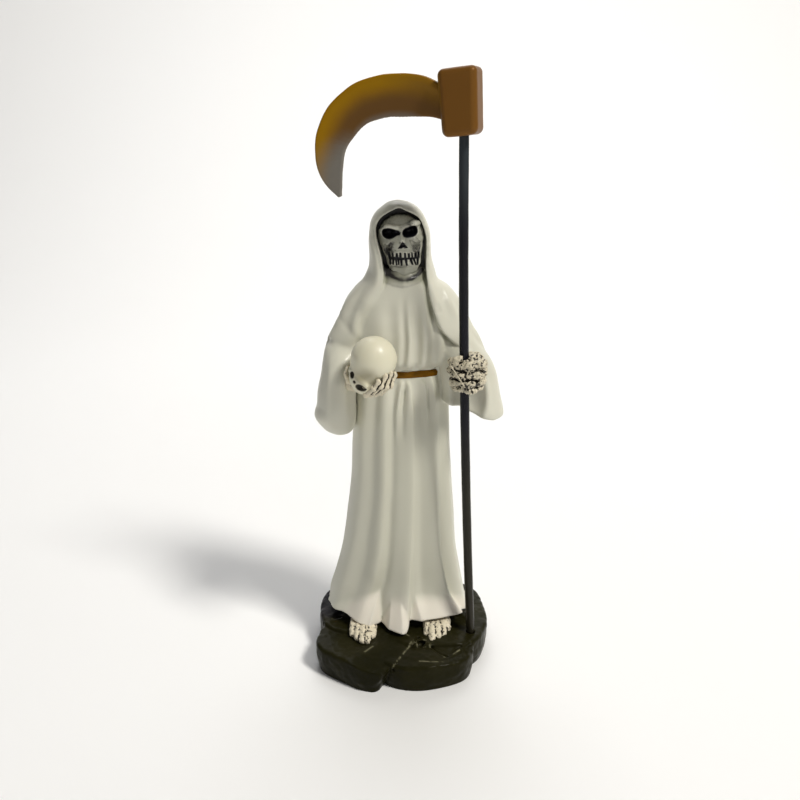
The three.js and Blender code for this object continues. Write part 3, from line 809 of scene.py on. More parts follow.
@dataclass
class UpperRobe(Form):
    """Blouse, hood, cape and both hanging sleeves, which run into each other.

    Attributes:
        opening: outline of the hood's and the cape's opening, seen from the front.
        cavity_back: how deep the opening reaches.
        gathers: sideways offset, rise and spread of each gather over the belt.
        right_sleeve: sizes of the sleeve on the viewer's right, by height.
        left_sleeve: sizes of the sleeve on the viewer's left.
        right_hem: height of the right sleeve's hem by place across.
        creases: path seen from the front, depth and width of each crease pressed in the front.
        neck: middle and half widths of the neck.
        collar: path of the ridge round the neck.
        collar_radii: its thickness at each point.
        right_mouth: middle, half widths and turn of the hollow in the right sleeve.
        left_mouth: middle and half widths of the hollow in the left sleeve.
        crown: height of the hood's top.
    """

    name: str = "robe_upper"
    low: Point = (-46, -22, 123)
    high: Point = (52, 26, 243)
    voxel: float = 0.58
    opening: Rows = (
        (-1.27, 238.9), (1.74, 237.7), (5.36, 236.0), (7.5, 234.5), (9.0, 232.4), (10.2, 229.6),
        (10.9, 227.2), (11.4, 224.8), (11.5, 221.5), (11.4, 216.4), (11.4, 210.3), (12.1, 203.5),
        (13.2, 196.6), (15.9, 188), (19.6, 180.4), (27.4, 173), (38, 168.4), (44, 160), (0, 156),
        (-44, 160), (-38, 171.4), (-27.5, 172.2), (-21.4, 176.5), (-19.6, 184), (-14.5, 194), (-9.6, 202),
        (-8.7, 207.5), (-9.2, 211), (-9.7, 214.7), (-10.4, 217.6), (-11.2, 220.6), (-11.9, 223.4),
        (-12.4, 226), (-12.5, 228.8), (-11.9, 231.2), (-10.3, 233.9), (-7.59, 236.0), (-4.28, 237.9),
    )  # fmt: skip
    cavity_back: float = 1.5
    gathers: Rows = (
        (-12, 0.7, 3.4), (-6.4, -0.6, 2.4), (-1.9, 0.5, 1.5), (0.5, -0.4, 1.1), (3.1, 1.4, 1.4),
        (6.6, -1.1, 1.8), (10.4, 1.4, 1.8), (14.6, -1.0, 1.7), (18.2, 0.7, 1.8),
    )  # fmt: skip
    right_sleeve: Rows = (
        (133.6, 45.2, -5, 2, 3, 3, 2.3),
        (135.2, 42.4, -5, 7.8, 9, 9, 2.3),
        (138.0, 37.6, -4.6, 13, 12, 12.5, 2.3),
        (141.6, 35.4, -4.4, 14.7, 13, 14, 2.3),
        (148, 35, -4, 13.6, 13.4, 14, 2.3),
        (157, 33.6, -3, 13.2, 13.4, 14, 2.3),
        (164, 32, -2, 12.4, 13.2, 14, 2.3),
        (170, 29.2, -1, 11.4, 11.6, 14, 2.3),
        (177, 26.2, 0.8, 9.8, 10, 13.6, 2.3),
        (187, 22, 2.6, 8, 7.6, 12, 2.3),
    )
    left_sleeve: Rows = (
        (126.4, -31, -5, 1.5, 3, 3, 2.3),
        (128.0, -30.8, -5, 5, 9, 9, 2.3),
        (130.6, -31.4, -5, 7.6, 13, 12, 2.3),
        (136.8, -33.2, -4.6, 10, 16, 14, 2.3),
        (143, -32.6, -4.4, 9.4, 17, 15, 2.3),
        (150, -32.2, -4, 9.2, 17.2, 15, 2.3),
        (158, -31.6, -3.4, 8.2, 17, 15, 2.3),
        (165, -30.4, -2.4, 8.6, 15.4, 15, 2.3),
        (171, -28.6, -1, 9.6, 12, 14.6, 2.3),
        (177, -26, 0.8, 9.4, 9.8, 13.8, 2.3),
        (187, -22, 2.6, 8, 7.6, 12, 2.3),
    )
    right_hem: Rows = (
        (20, 143.2), (24, 143), (29.5, 142.2), (34.2, 139.2), (39.1, 137.2), (45.7, 135.2), (50, 136.4),
    )  # fmt: skip
    creases: tuple[tuple[Rows, float, float], ...] = (
        (((-37.5, 173.4), (-32, 173.2), (-26.5, 171.6)), 0.9, 1.6),
        (((17.4, 192.5), (17.8, 190)), 0.4, 0.8),
        (((19.6, 199.6), (20.2, 197)), 0.35, 0.9),
        (((34.5, 186), (35.5, 183)), 0.4, 0.9),
        (((38.4, 180), (39.4, 177)), 0.35, 0.9),
    )
    neck: tuple[Point, Point] = ((0.6, 0.4, 203.2), (9.4, 9.2, 8))
    collar: Rows = ((-8.4, -2, 209), (-5.6, -7.2, 205.4), (0.6, -9.4, 204), (7, -7.0, 205.6), (9.6, -2, 209))
    collar_radii: tuple[float, ...] = (1.3, 1.1, 1.0, 1.1, 1.3)
    right_mouth: tuple[Point, Point, Point] = ((31.6, -21, 153), (10.4, 11.5, 21), (0, -7, 0))
    left_mouth: tuple[Point, Point] = ((-21.6, -19, 149), (5.0, 8.5, 16))
    crown: float = 242.0

    def __post_init__(self) -> None:
        """Prepares the outline and the sections that the distances are measured from."""
        self.mouth = Outline(self.opening)
        self.mantle = Sections(MANTLE)
        self.right = Sections(self.right_sleeve)
        self.left = Sections(self.left_sleeve)

    def blouse(self, p: Array) -> Array:
        """Chest of the robe, gathered over the belt.

        Args:
            p: points.

        Returns:
            Signed distances.
        """
        z = p[2]
        near, angle, side = robe_sections.skin(p)
        front = 1.0 - behind(angle)
        amount = ramp(z, WAIST + 2, WAIST + 5) * (1.0 - ramp(z, 182, 202))
        height = 1.2 * bell((z - WAIST - 5.6) / 2.3)
        for at, rise, spread in self.gathers:
            height = height + front * amount * rise * bell((side - at) / spread)
        height = height + 0.4 * (1 - front) * np.cos(np.radians(BACK_FOLDS * angle)) * amount
        wave = 0.45 * np.cos((side - 10.0) * 0.85)
        skin = near - height
        solid = meet(skin, WAIST + 1.7 + wave * front - z, 1.5)
        solid = meet(solid, z - 210.0, 1.0)
        solid = unite(solid, ellipsoid(p, *self.neck), 2.0)
        return unite(solid, tube(p, self.collar, self.collar_radii), 2.4)

    def cape(self, p: Array) -> Array:
        """Hood and cape in one sweep, open in front.

        Args:
            p: points.

        Returns:
            Signed distances.
        """
        x, y, z = p
        near, angle, _ = self.mantle.skin(p)
        low = 1.0 - ramp(z, 188, 206)
        lean = (z - 180) / 4.0
        sides = ramp(np.abs(angle), 35, 60)
        folds = 0.7 * np.cos(np.radians(9 * (angle - 6 - lean))) * sides * low
        drape = 0.5 * np.cos(np.radians(6 * angle)) * ramp(np.abs(angle), 90, 130)
        drape = drape * (1 - low) * (1.0 - ramp(z, 228, 240))
        edge = self.mouth.at(x, z)
        lip = 1.5 + 1.1 * ramp(-x, 7, 10) * (1.0 - ramp(z, 224, 234))
        hood = ramp(z, 188, 206)
        bevel = hood * (0.42 * np.clip(lip - edge, 0.0, None) - 0.3 * bell((edge - lip - 1.0) / 0.9))
        outer = ramp(z, 176, 200) * 0.4 * bell((edge - lip - 4.4) / 1.2)
        crease = 0.55 * bell((x + 19.9 + 0.04 * (z - 190)) / 1.6) * bell((z - 184) / 6)
        crease = crease + 0.5 * bell((x + 27.5 + 0.9 * (z - 182)) / 1.8) * bell((z - 182) / 6)
        dents = 0.5 * bell((x - 20.5 + 0.5 * (z - 195)) / 1.6) * bell((z - 194) / 9)
        skin = meet(near - folds - drape + bevel + outer + crease + dents, z - self.crown, 0.8)
        hem = 167.4 + 8.6 * bell((angle + 76) / 26) + 1.4 * bell((angle - 85) / 40)
        skin = meet(skin, hem - z, 1.0)
        soft = 0.5 + 0.7 * (1.0 - hood) + 3.4 * ramp(-x, -4, 8) * (1.0 - ramp(z, 190, 203))
        return carve(skin, np.maximum(edge, y - self.cavity_back), soft)

    def sleeve(self, p: Array, table: Sections, side: float) -> Array:
        """One hanging sleeve, before its mouth is cut.

        Args:
            p: points.
            table: sizes of the sleeve by height.
            side: 1 for the viewer's right, -1 for the left.

        Returns:
            Signed distances.
        """
        z = p[2]
        near, angle, _ = table.skin(p)
        hang = 1.0 - ramp(z, 158, 172)
        outer = bell((angle * side - 70) / 26) - 0.8 * bell((angle * side - 118) / 20)
        crease = 0.5 * bell((angle * side - 20 - (z - 150) * 0.8) / 9)
        crease = crease - 0.4 * bell((angle * side - 42) / 8)
        back = 0.5 * np.cos(np.radians(5 * angle)) * ramp(np.abs(angle), 110, 150)
        skin = near - hang * (0.9 * outer + back + 0.6 * crease)
        skin = meet(skin, table.heights[0] - z, 1.0)
        return meet(skin, z - table.heights[-1], 1.0)

    def distance(self, p: Array) -> Array:
        """Distance to the whole upper robe.

        Args:
            p: points.

        Returns:
            Signed distances.
        """
        x, y, z = p
        right = self.sleeve(p, self.right, 1.0)
        right = carve(right, ellipsoid(p, *self.right_mouth), 2.2)
        right = unite(right, tube(p, *INNER_SLEEVE), 4.0)
        right = meet(right, along(self.right_hem, x) - z, 1.6)
        left = self.sleeve(p, self.left, -1.0)
        left = carve(left, ellipsoid(p, *self.left_mouth), 2.0)
        body = unite(self.blouse(p), unite(left, right, 0.5), 1.6)
        cloth = unite(body, self.cape(p), 0.8 + 1.8 * ramp(-x, 0, 14))
        flat = np.array([x, np.zeros_like(y), z])
        for path, depth, width in self.creases:
            line = tube(flat, [(a, 0.0, b) for a, b in path], [0.1] * len(path))
            cloth = cloth + depth * bell(line / width) * (y < 0)
        return cloth - 0.12 * noise(p, 8.0)

    def masks(self, p: Array) -> dict[str, Array]:
        """Painted shade inside the hood, round the skull and under the chin, and a painted shade band at the
        neck.

        Args:
            p: points.

        Returns:
            Each mask's values by its name.
        """
        x, y, z = p
        edge = self.mouth.at(x, z)
        inside = (1.0 - ramp(edge, -0.9, 0.3)) * ramp(z, 204.7, 208) * (1.0 - ramp(y, 2.2, 3.4))
        throat = bell((x - 0.5) / np.where(x > 0.5, 14.0, 7.0)) * (1.0 - ramp(z, 207.5, 212))
        inside = inside * (1.0 - 0.85 * throat)
        shade = inside * (1.0 - ramp(y, -9.0, -7.5) * ramp(x, 8.0, 10.0) * 0.3)
        ragged = 0.35 * noise(p, 1.3)
        jaw = bell((z - 205.2 - 0.05 * (x - 1.0) ** 2 + ragged) / 0.6)
        jaw = jaw * (0.45 + 0.55 * ramp(x, 1.0, 5.0))
        under = 0.3 * bell((z - 205.2 - 0.04 * x * x) / 2.4) * (1.0 - 0.75 * ramp(x, -1.0, 4.0))
        under = under + 0.25 * bell((z - 201.8 - 0.03 * x * x) / 0.6)
        chin = (jaw + under) * (1.0 - ramp(np.abs(x - 0.8), 8.5, 11)) * (y < -3)
        lip = 0.3 * bell((edge - 0.8) / 0.9) * ramp(z, 205, 212) * (1.0 - ramp(y, 2.2, 3.4))
        # painted shade: olive band at the neck under the chin
        neck = 0.9 * (1.0 - ramp(edge, -0.6, 0.8)) * ramp(z, 202.0, 205.5) * (y < -3)
        neck = neck * (1.0 - ramp(z, 209, 211))
        return {"shade_and_stain": np.clip(shade + np.maximum(chin, lip), 0, 1), "painted_shade": neck}


@dataclass
class Rock(Form):
    """Four boulders leaning on each other.

    Attributes:
        half: half width of the base.
        height: height of its flat top.
        boulders: middle x and y, half width and half depth as shares of the base's half width,
            top as a share of its height, turn in degrees and squareness.
        split: offset, turn and lean of the front left slab's straight edge.
        cracks: path and radius of each open crack.
        glints: where painted glints run along the edges, as paths seen from above.
        ridge: path of the raised edge on the front right boulder.
        ridge_radii: its thickness at each point.
        pit: middle, half widths and turn of the pit beside the robe.
        socket: how far up the staff its bore is cut.
    """

    name: str = "rock_base"
    low: Point = (-49, -50, -0.5)
    high: Point = (50, 48, 19)
    voxel: float = 0.55
    half: float = 46.0
    height: float = 16.0
    boulders: Rows = (
        (-0.3, -0.33, 0.62, 0.64, 0.97, -30, 3.0),
        (0.21, -0.324, 0.592, 0.648, 0.9, 12, 3.0),
        (0.39, 0.16, 0.62, 0.77, 1.03, 0, 3.0),
        (-0.33, 0.3, 0.66, 0.69, 1.06, 0, 2.7),
    )
    split: Point = (0.32, -29.0, 18.0)
    cracks: tuple[tuple[Rows, float], ...] = (
        (((8.5, -21, 16), (1.5, -32, 15.3), (-2.6, -40, 14.8), (-6, -46, 9)), 0.8),
        (((13, -24, 15), (20, -33, 14.6), (24.4, -36.4, 14.2)), 0.6),
        (((-44, -6, 15), (-31, 0, 16), (-26, 7, 16)), 0.9),
    )
    glints: tuple[Rows, ...] = (
        ((-19.3, -33.2), (-16.4, -29.8), (-13.4, -27.0)),
        ((-3.4, -40.6), (-0.4, -34.7), (3.1, -27.8), (6.6, -23.1)),
        ((8.9, -39.6), (14.8, -40.8), (20.9, -40.2)),
        ((21.8, -36.1), (26.2, -33.9), (29.8, -31.2)),
        ((14.4, -27.5), (16.1, -28.1)),
        ((2.3, -17.6), (4.0, -20.0)),
    )
    ridge: Rows = ((23.6, -36.8, 14.0), (30, -30.5, 14.8), (35.4, -24.4, 15.4))
    ridge_radii: Point = (0.5, 0.9, 0.5)
    pit: tuple[Point, Point, Point] = ((10.2, -25.4, 15.0), (2.9, 2.5, 1.9), (0, 0, 20))
    socket: float = 30.0

    def boulder(self, p: Array, n: int) -> Array:
        """One boulder with soft edges and an uneven top.

        Args:
            p: points.
            n: which boulder.

        Returns:
            Signed distances.
        """
        cx, cy, wide, deep, top, turn, square = self.boulders[n]
        q = turned(p, (cx * self.half, cy * self.half, 0), (0, 0, turn))
        z = p[2]
        taper = 1.0 - 0.05 * (1.0 - ramp(z, -2, 9))
        u = np.maximum(np.abs(q[0]) / (wide * self.half * taper), 1e-5)
        v = np.maximum(np.abs(q[1]) / (deep * self.half * taper), 1e-5)
        un, vn = u**square, v**square
        near = (un + vn) ** (1 / square)
        slope = np.hypot(un / (u * wide * self.half), vn / (v * deep * self.half))
        slope = slope * near ** (1 - square)
        side = (near - 1) / np.maximum(slope, 1e-4)
        angle = np.arctan2(q[0], -q[1])
        side = side - 0.5 * np.sin(3 * angle + 1.7 * n) - 0.3 * np.sin(7 * angle + 2.3 * n)
        roof = z - top * self.height - 0.35 * noise(p, 13.0) - 0.25 * np.sin(0.12 * q[0] + n)
        return meet(side, roof, 2.2)

    def distance(self, p: Array) -> Array:
        """Distance to the boulders, with their cracks and the socket of the staff.

        Args:
            p: points.

        Returns:
            Signed distances.
        """
        x, y, z = p
        offset, turn, lean = self.split
        reach = (offset + 0.5) * self.half
        across = math.radians(turn)
        centre = (reach * math.cos(across), reach * math.sin(across), self.height / 2)
        split = box(p, centre, (self.half, self.half * 4, self.height * 4), (0, lean, turn))
        split = split + 0.5 * noise(p, 7.0)
        slab = carve(self.boulder(p, 0), split, 1.0 + 2.5 * (1.0 - ramp(z, 3.0, 9.0)))
        facet = 0.083 * (x + 13.5) - 0.184 * (y + 30.9) + 0.979 * (z - 15.5) - 0.2 * noise(p, 6.0)
        slab = meet(slab, facet, 0.5)
        rock = unite(slab, self.boulder(p, 1), 0.5)
        rock = unite(rock, self.boulder(p, 2), 0.5)
        rock = unite(rock, self.boulder(p, 3), 0.5)
        for path, radius in self.cracks:
            rock = carve(rock, tube(p, path, [radius] * len(path)), 0.5)
        rock = unite(rock, tube(p, self.ridge, self.ridge_radii), 1.2)
        rock = carve(rock, ellipsoid(p, *self.pit), 0.6)
        rough = 0.35 * noise(p, 5.0) + 0.16 * noise(p, 2.2)
        rock = carve(rock - rough * ramp(z, 0.5, 3.0), STAFF.bore(p, 0.0, self.socket), 0.2)
        return meet(rock, -z, 0.6)

    def masks(self, p: Array) -> dict[str, Array]:
        """Painted glints along edges and cracks, and the boulder with a purplish tone.

        Args:
            p: points.

        Returns:
            Each mask's values by its name.
        """
        x, y, z = p
        violet = ramp(-x, 6, 22) * ramp(y, -6, 6)
        flat = np.array([x, y, np.zeros_like(z)])
        near = np.full_like(x, 9.0)
        for path in self.glints:
            line = tube(flat, [(*point, 0.0) for point in path], [0.1] * len(path))
            near = np.minimum(near, line)
        # painted glints along the listed edges
        glint = (1.0 - ramp(near, 0.0, 0.45)) * ramp(noise(p, 1.6), -0.5, 0.15) * (z > 9)
        return {"violet": violet, "glint": glint}


@dataclass
class SkullFace(Form):
    """Skull that looks out of the hood, its crown leaning to the viewer's left.

    Attributes:
        place: middle of the skull's own frame.
        roll: lean in degrees.
        upper_gaps: place along the row, half width and lean of each gap between upper teeth.
        lower_gaps: the same for the lower teeth.
        bite: height of the line of the mouth in the skull's frame.
        jaw: path of the jaw bone in the skull's frame.
        jaw_radii: its thickness at each point.
    """

    name: str = "skull_face"
    low: Point = (-14, -16, 206)
    high: Point = (14, 12, 240)
    voxel: float = 0.26
    place: Point = (-0.4, 1.0, 221.4)
    roll: float = -4.0
    upper_gaps: Rows = (
        (-5.9, 0.6, -0.1), (-4.4, 0.3, 0), (-2.5, 0.56, 0.05), (-0.7, 0.5, 0), (1.5, 0.44, 0),
        (3.3, 0.5, 0), (4.8, 0.3, 0), (6.4, 0.5, 0.1), (7.8, 0.5, 0.1),
    )  # fmt: skip
    lower_gaps: Rows = (
        (-5.6, 0.4, -0.1), (-4.2, 0.36, -0.1), (-3.0, 0.34, 0.05), (-1.8, 0.34, 0), (-0.5, 0.5, 0),
        (1.7, 0.56, 0.1), (3.9, 0.54, 0.3), (5.4, 0.42, 0.3), (7.4, 0.54, -0.05),
    )  # fmt: skip
    bite: float = -6.1
    jaw: Rows = (
        (-6.4, -2.0, -2.0), (-5.6, -3.6, -8.4), (-3.4, -7.0, -11.6), (0.9, -8.6, -12.2),
        (4.8, -7.2, -11.3), (6.8, -3.6, -8.4), (7.6, -2.0, -1.6),
    )  # fmt: skip
    jaw_radii: tuple[float, ...] = (1.6, 1.9, 2.1, 2.3, 2.2, 2.1, 1.8)

    def own(self, p: Array) -> Array:
        """Points in the skull's own frame."""
        return np.array(turned(p, self.place, (0, self.roll, 0)))

    def holes(self, q: Array) -> Array:
        """Distance to eye sockets and nose.

        Args:
            q: points in the skull's own frame.

        Returns:
            Signed distances.
        """
        left = unite(
            ellipsoid(q, (-5.7, -9.3, 6.1), (3.3, 6.0, 2.35), (0, 2, 0)),
            ellipsoid(q, (-2.4, -10.6, 6.3), (2.2, 3.6, 1.0), (0, 6, 0)),
            1.2,
        )
        right = unite(
            ellipsoid(q, (3.7, -9.5, 6.0), (2.6, 6.0, 2.2), (0, -8, 0)),
            ellipsoid(q, (5.9, -9.0, 6.4), (2.3, 6.0, 2.3), (0, 4, 0)),
            0.9,
        )
        x, y, z = q
        nose = np.maximum(np.abs(x - 0.75) - (1.5 - z) * 0.74, -(z + 0.75))
        nose = np.maximum(nose * 0.74, y + 8.0)
        notch = np.hypot(x - 0.8, z + 1.15) - 0.7
        return np.minimum(np.minimum(left, right), carve(nose, notch, 0.3))

    def slits(self, q: Array) -> Array:
        """Distance to the gaps between teeth and the line of the mouth.

        Args:
            q: points in the skull's own frame.

        Returns:
            Signed distances.
        """
        x, y, z = q
        bite = z - self.bite + 0.065 * x
        near = np.abs(bite) - 0.3 - 0.3 * bell((x + 3.2) / 2.6)
        near = np.maximum(near, np.abs(x - 0.9) - 7.2)
        for row, side, tall in ((self.upper_gaps, 1.0, 2.6), (self.lower_gaps, -1.0, 3.1)):
            for at, half, lean in row:
                across = np.abs(x - at + lean * bite * side * -1.0) - half * (1.0 - 0.14 * np.abs(bite))
                upright = np.abs(bite * side - tall / 2) - tall / 2 + 0.2 * np.sin(at * 2.3)
                near = np.minimum(near, np.maximum(across, upright))
        corner = tube(q, ((-6.1, -8, -2.4), (-6.4, -8, -5.2), (-5.4, -8, -8.4)), (0.5, 0.6, 0.3))
        return np.minimum(near, np.where(y < -3, corner, 9.0))

    def distance(self, p: Array) -> Array:
        """Distance to the skull.

        Args:
            p: points.

        Returns:
            Signed distances.
        """
        q = self.own(p)
        x, y, z = q
        skull = ellipsoid(q, (0.1, 0.4, 4.4), (11.4, 10.6, 10.0))
        plate = ellipsoid(q, (0.5, -3.0, -1.0), (9.3, 7.6, 7.6))
        skull = unite(skull, plate, 2.5)
        left = tube(q, ((-9.2, -4.8, 7.4), (-6.2, -8.8, 9.0), (-1.6, -10.1, 8.4)), (0.9, 1.4, 1.3))
        right = tube(q, ((8.6, -5.6, 9.6), (6.6, -8.4, 9.9), (1.8, -10.1, 8.4)), (1.2, 1.5, 1.2))
        skull = unite(unite(skull, left, 1.8), right, 1.8)
        bridge = tube(q, ((0.4, -9.8, 7.6), (0.6, -10.8, 3.4), (0.7, -11.2, 2.0)), (1.3, 1.0, 0.7))
        skull = unite(skull, bridge, 1.2)
        skull = unite(skull, tube(q, self.jaw, self.jaw_radii), 2.0)
        skull = unite(skull, ellipsoid(q, (0.8, -2.0, -8.5), (6.8, 7.0, 5.0)), 1.5)
        middle = 0.4
        for side, lift in ((-1, 0.0), (1, 0.6)):
            nose_end = (middle + side * 2.6, -9.4, 0.4 + lift)
            crest = (middle + side * 6.0, -7.8, 1.0 + lift)
            ear_end = (middle + side * 9.0, -3.2, 2.0 + lift)
            skull = unite(skull, tube(q, (nose_end, crest, ear_end), (1.1, 1.5, 1.1)), 1.6)
            below = (middle + side * 7.0, -7.2, -2.2 + lift)
            skull = carve(skull, ellipsoid(q, below, (1.6, 2.6, 2.6), (0, side * 22, 0)), 1.6)
            groove = ((middle + side * 4.6, -10.2, 1.6), (middle + side * 6.4, -9.0, -0.6))
            skull = carve(skull, tube(q, groove, (0.5, 0.8)), 1.0)
        arch = 10.6 - 0.085 * (x - 0.7) ** 2
        gum = np.maximum(np.abs(z - self.bite + 0.065 * x) - 3.3, np.abs(x - 0.9) - 7.4)
        teeth = meet(np.abs(y + arch - 2.6) - 2.6, gum, 1.2)
        skull = unite(skull, teeth, 0.9)
        dimple = ellipsoid(q, (1.0, -11.6, -10.2), (3.2, 1.4, 0.8))
        skull = carve(skull, dimple, 0.8)
        shallow = np.maximum(self.slits(q), np.abs(y + arch) - 1.1)
        skull = carve(skull, shallow, 0.2)
        skull = carve(skull, self.holes(q), 0.7)
        scratches = 0.12 * noise(np.array([x * 2.6, y, z * 0.7]), 1.3) * ramp(z, 9.5, 11.0)
        return skull - 0.08 * noise(q, 1.1) - 0.12 * noise(q, 3.0) - scratches

    def masks(self, p: Array) -> dict[str, Array]:
        """Black paint in the sockets, the nose and between the teeth, painted shade in the hollows and under
        the hood, a stain over the brow, and painted highlights.

        Args:
            p: points.

        Returns:
            Each mask's values by its name.
        """
        q = self.own(p)
        x, y, z = q
        black = 1.0 - ramp(self.holes(q), 0.25, 0.55)
        front = (y < -2.5) & (np.abs(z + 6.5) < 4.6)
        black = np.maximum(black, (1.0 - ramp(self.slits(q), 0.1, 0.34)) * front)
        hollow = bell((np.abs(x - 0.4) - 7.0) / 1.4) * bell((z + 2.4) / 2.4)
        groove = bell((x + 5.6 - 0.8 * (z - 0.2)) / 0.8) * bell((z - 0.4) / 1.1)
        back = ramp(y, -5.0, -1.0)
        brow = bell((z - 9.9) / 1.1) * bell((x - 4.6) / 1.0)
        top = ramp(z + 0.1 * np.abs(x), 12.4, 14.6)
        cheek = 0.5 * bell((np.abs(x - 0.6) - 5.6) / 1.5)
        cheek = cheek * ramp(-z, -1.5, 1.0) * (1.0 - ramp(-z, 4.5, 8.5))
        # painted shade in the hollows, the groove, the cheeks, the back and the crown under the hood; the
        # brow term is a brown stain
        shades_and_stains = [0.5 * hollow, 0.7 * groove * (y < -6), back, 0.55 * brow, 0.45 * top, cheek]
        shade_and_stain = np.maximum.reduce(shades_and_stains)
        # painted highlights on the brow knob, the left brow, the forehead and the nose tip
        light = bell((x - 7.2) / 1.0) * bell((z - 10.3) / 0.9)
        light = light + bell((x + 3.2) / 2.6) * bell((z - 8.8) / 0.7)
        light = light + 0.8 * bell((x + 0.4) / 5.5) * ramp(z, 8.6, 9.6) * (1.0 - ramp(z, 12.8, 14.8))
        light = light + 0.8 * bell((x - 0.7) / 0.5) * bell((z - 2.4) / 0.5)
        return {"black": black, "shade_and_stain": np.clip(shade_and_stain, 0, 1), "light": np.clip(light, 0, 1)}


# Middle of the held skull's crown
BALL = (-13.4, -27.0, 170.6)


@dataclass
class HeldSkull(Form):
    """Small smooth skull that faces down to the viewer's left.

    Attributes:
        ball: half widths of its round crown.
        rim: path of the shade along the face's left edge.
    """

    name: str = "held_skull"
    low: Point = (-28, -40, 151)
    high: Point = (1, -14, 184)
    voxel: float = 0.3
    ball: Point = (11.0, 10.6, 11.0)
    rim: Rows = ((-24.2, -26, 168), (-25.3, -26, 164.2), (-25.2, -27, 160.2), (-23.6, -29, 157.8))

    def holes(self, p: Array) -> Array:
        """Distance to sockets and nose.

        Args:
            p: points.

        Returns:
            Signed distances.
        """
        small = ellipsoid(p, (-23.3, -31.6, 164.4), (1.1, 2.6, 1.6), (0, 12, 0))
        large = ellipsoid(p, (-19.3, -33.6, 158.6), (2.6, 2.8, 1.5), (0, 10, 0))
        nose = ellipsoid(p, (-22.4, -33.2, 161.2), (0.5, 1.4, 0.6))
        return np.minimum(np.minimum(small, large), nose)

    def distance(self, p: Array) -> Array:
        """Distance to the small skull.

        Args:
            p: points.

        Returns:
            Signed distances.
        """
        ball = ellipsoid(p, BALL, self.ball)
        face = ellipsoid(p, (-18.6, -27.6, 162.2), (6.6, 7.0, 7.4), (0, 14, 0))
        skull = unite(ball, face, 4.0)
        skull = unite(skull, ellipsoid(p, (-17.0, -28.0, 157.4), (5.2, 6.0, 3.6)), 2.5)
        arch = ((-24.2, -30.0, 166), (-20.8, -34.0, 163.4), (-16.8, -35.2, 159.6))
        brow = tube(p, arch, (0.9, 1.0, 0.9))
        skull = unite(skull, brow, 1.6)
        return carve(skull, self.holes(p), 0.7) - 0.05 * noise(p, 3.0)

    def masks(self, p: Array) -> dict[str, Array]:
        """Grey paint in the sockets, and painted shade on the lower left of the ball and along the face's
        left edge.

        Args:
            p: points.

        Returns:
            Each mask's values by its name.
        """
        # painted shade on the lower left of the ball and along the face's left edge
        shade = ellipsoid(p, (-18.6, -37.0, 164.0), (5.4, 5.0, 2.6), (0, -20, 0))
        rim = tube(p, self.rim, [0.4] * len(self.rim))
        grey = np.maximum(0.8 * (1.0 - ramp(shade, -2.5, 3.5)), 0.8 * (1.0 - ramp(rim, 0.2, 1.4)))
        return {"black": 1.0 - ramp(self.holes(p), -0.1, 0.5), "shade_and_stain": grey}


@dataclass
class SkullHand(Form):
    """Bony hand under the small skull.

    Attributes:
        fingers: knuckle, joint and tip of each, from under the skull to its lower right.
        thumb: path of the thumb.
    """

    name: str = "skull_hand"
    low: Point = (-33, -42, 148)
    high: Point = (4, -8, 172)
    voxel: float = 0.26
    thumb: Rows = ((-19, -20, 156), (-26, -22, 158), (-27.2, -24.4, 163), (-25.8, -25.6, 167))
    fingers: tuple[Rows, ...] = (
        ((-17.0, -32.6, 154.8), (-13.3, -35.6, 158.6), (-11.1, -36.2, 162.0)),
        ((-14.8, -32.4, 154.8), (-9.9, -34.8, 159.6), (-7.8, -34.2, 164.4)),
        ((-12.3, -31.4, 154.7), (-7.4, -33.2, 158.8), (-5.4, -32.2, 165.0)),
        ((-9.9, -29.8, 154.9), (-5.3, -31.4, 158.8), (-3.4, -29.8, 163.8)),
    )

    def distance(self, p: Array) -> Array:
        """Distance to the hand, hollowed where the skull lies.

        Args:
            p: points.

        Returns:
            Signed distances.
        """
        palm = ellipsoid(p, (-14, -25, 157.4), (7.6, 8.4, 3.6), (0, -8, 0))
        wrist = tube(p, ((-31, -10, 157), (-23, -18, 156), (-15, -25, 157)), (4.6, 4.0, 3.2))
        hand = unite(palm, wrist, 2.0)
        for root, joint, tip in self.fingers:
            start = (root[0] - 1.5, root[1] + 5.0, root[2] + 0.8)
            finger = tube(p, (start, root, joint, tip), (1.4, 1.35, 1.0, 0.95))
            knots = ellipsoid(p, joint, (1.45, 1.3, 1.5))
            knots = np.minimum(knots, ellipsoid(p, tip, (1.25, 1.1, 1.6)))
            knots = np.minimum(knots, ellipsoid(p, root, (1.5, 1.5, 1.4)))
            hand = unite(hand, unite(finger, knots, 0.6), 0.3)
        hand = unite(hand, tube(p, self.thumb, (1.8, 1.1, 0.8, 0.7)), 0.8)
        skull = ellipsoid(p, BALL, (10.7, 10.3, 10.7))
        return carve(hand, skull, 0.3) - 0.16 * noise(p, 1.2) - 0.12 * noise(p, 2.8)

    def masks(self, p: Array) -> dict[str, Array]:
        """Dark wash in the pits."""
        return {"pits": np.clip(-noise(p, 1.2), 0, 1) * 0.6, "aged": np.full_like(p[0], 0.25)}


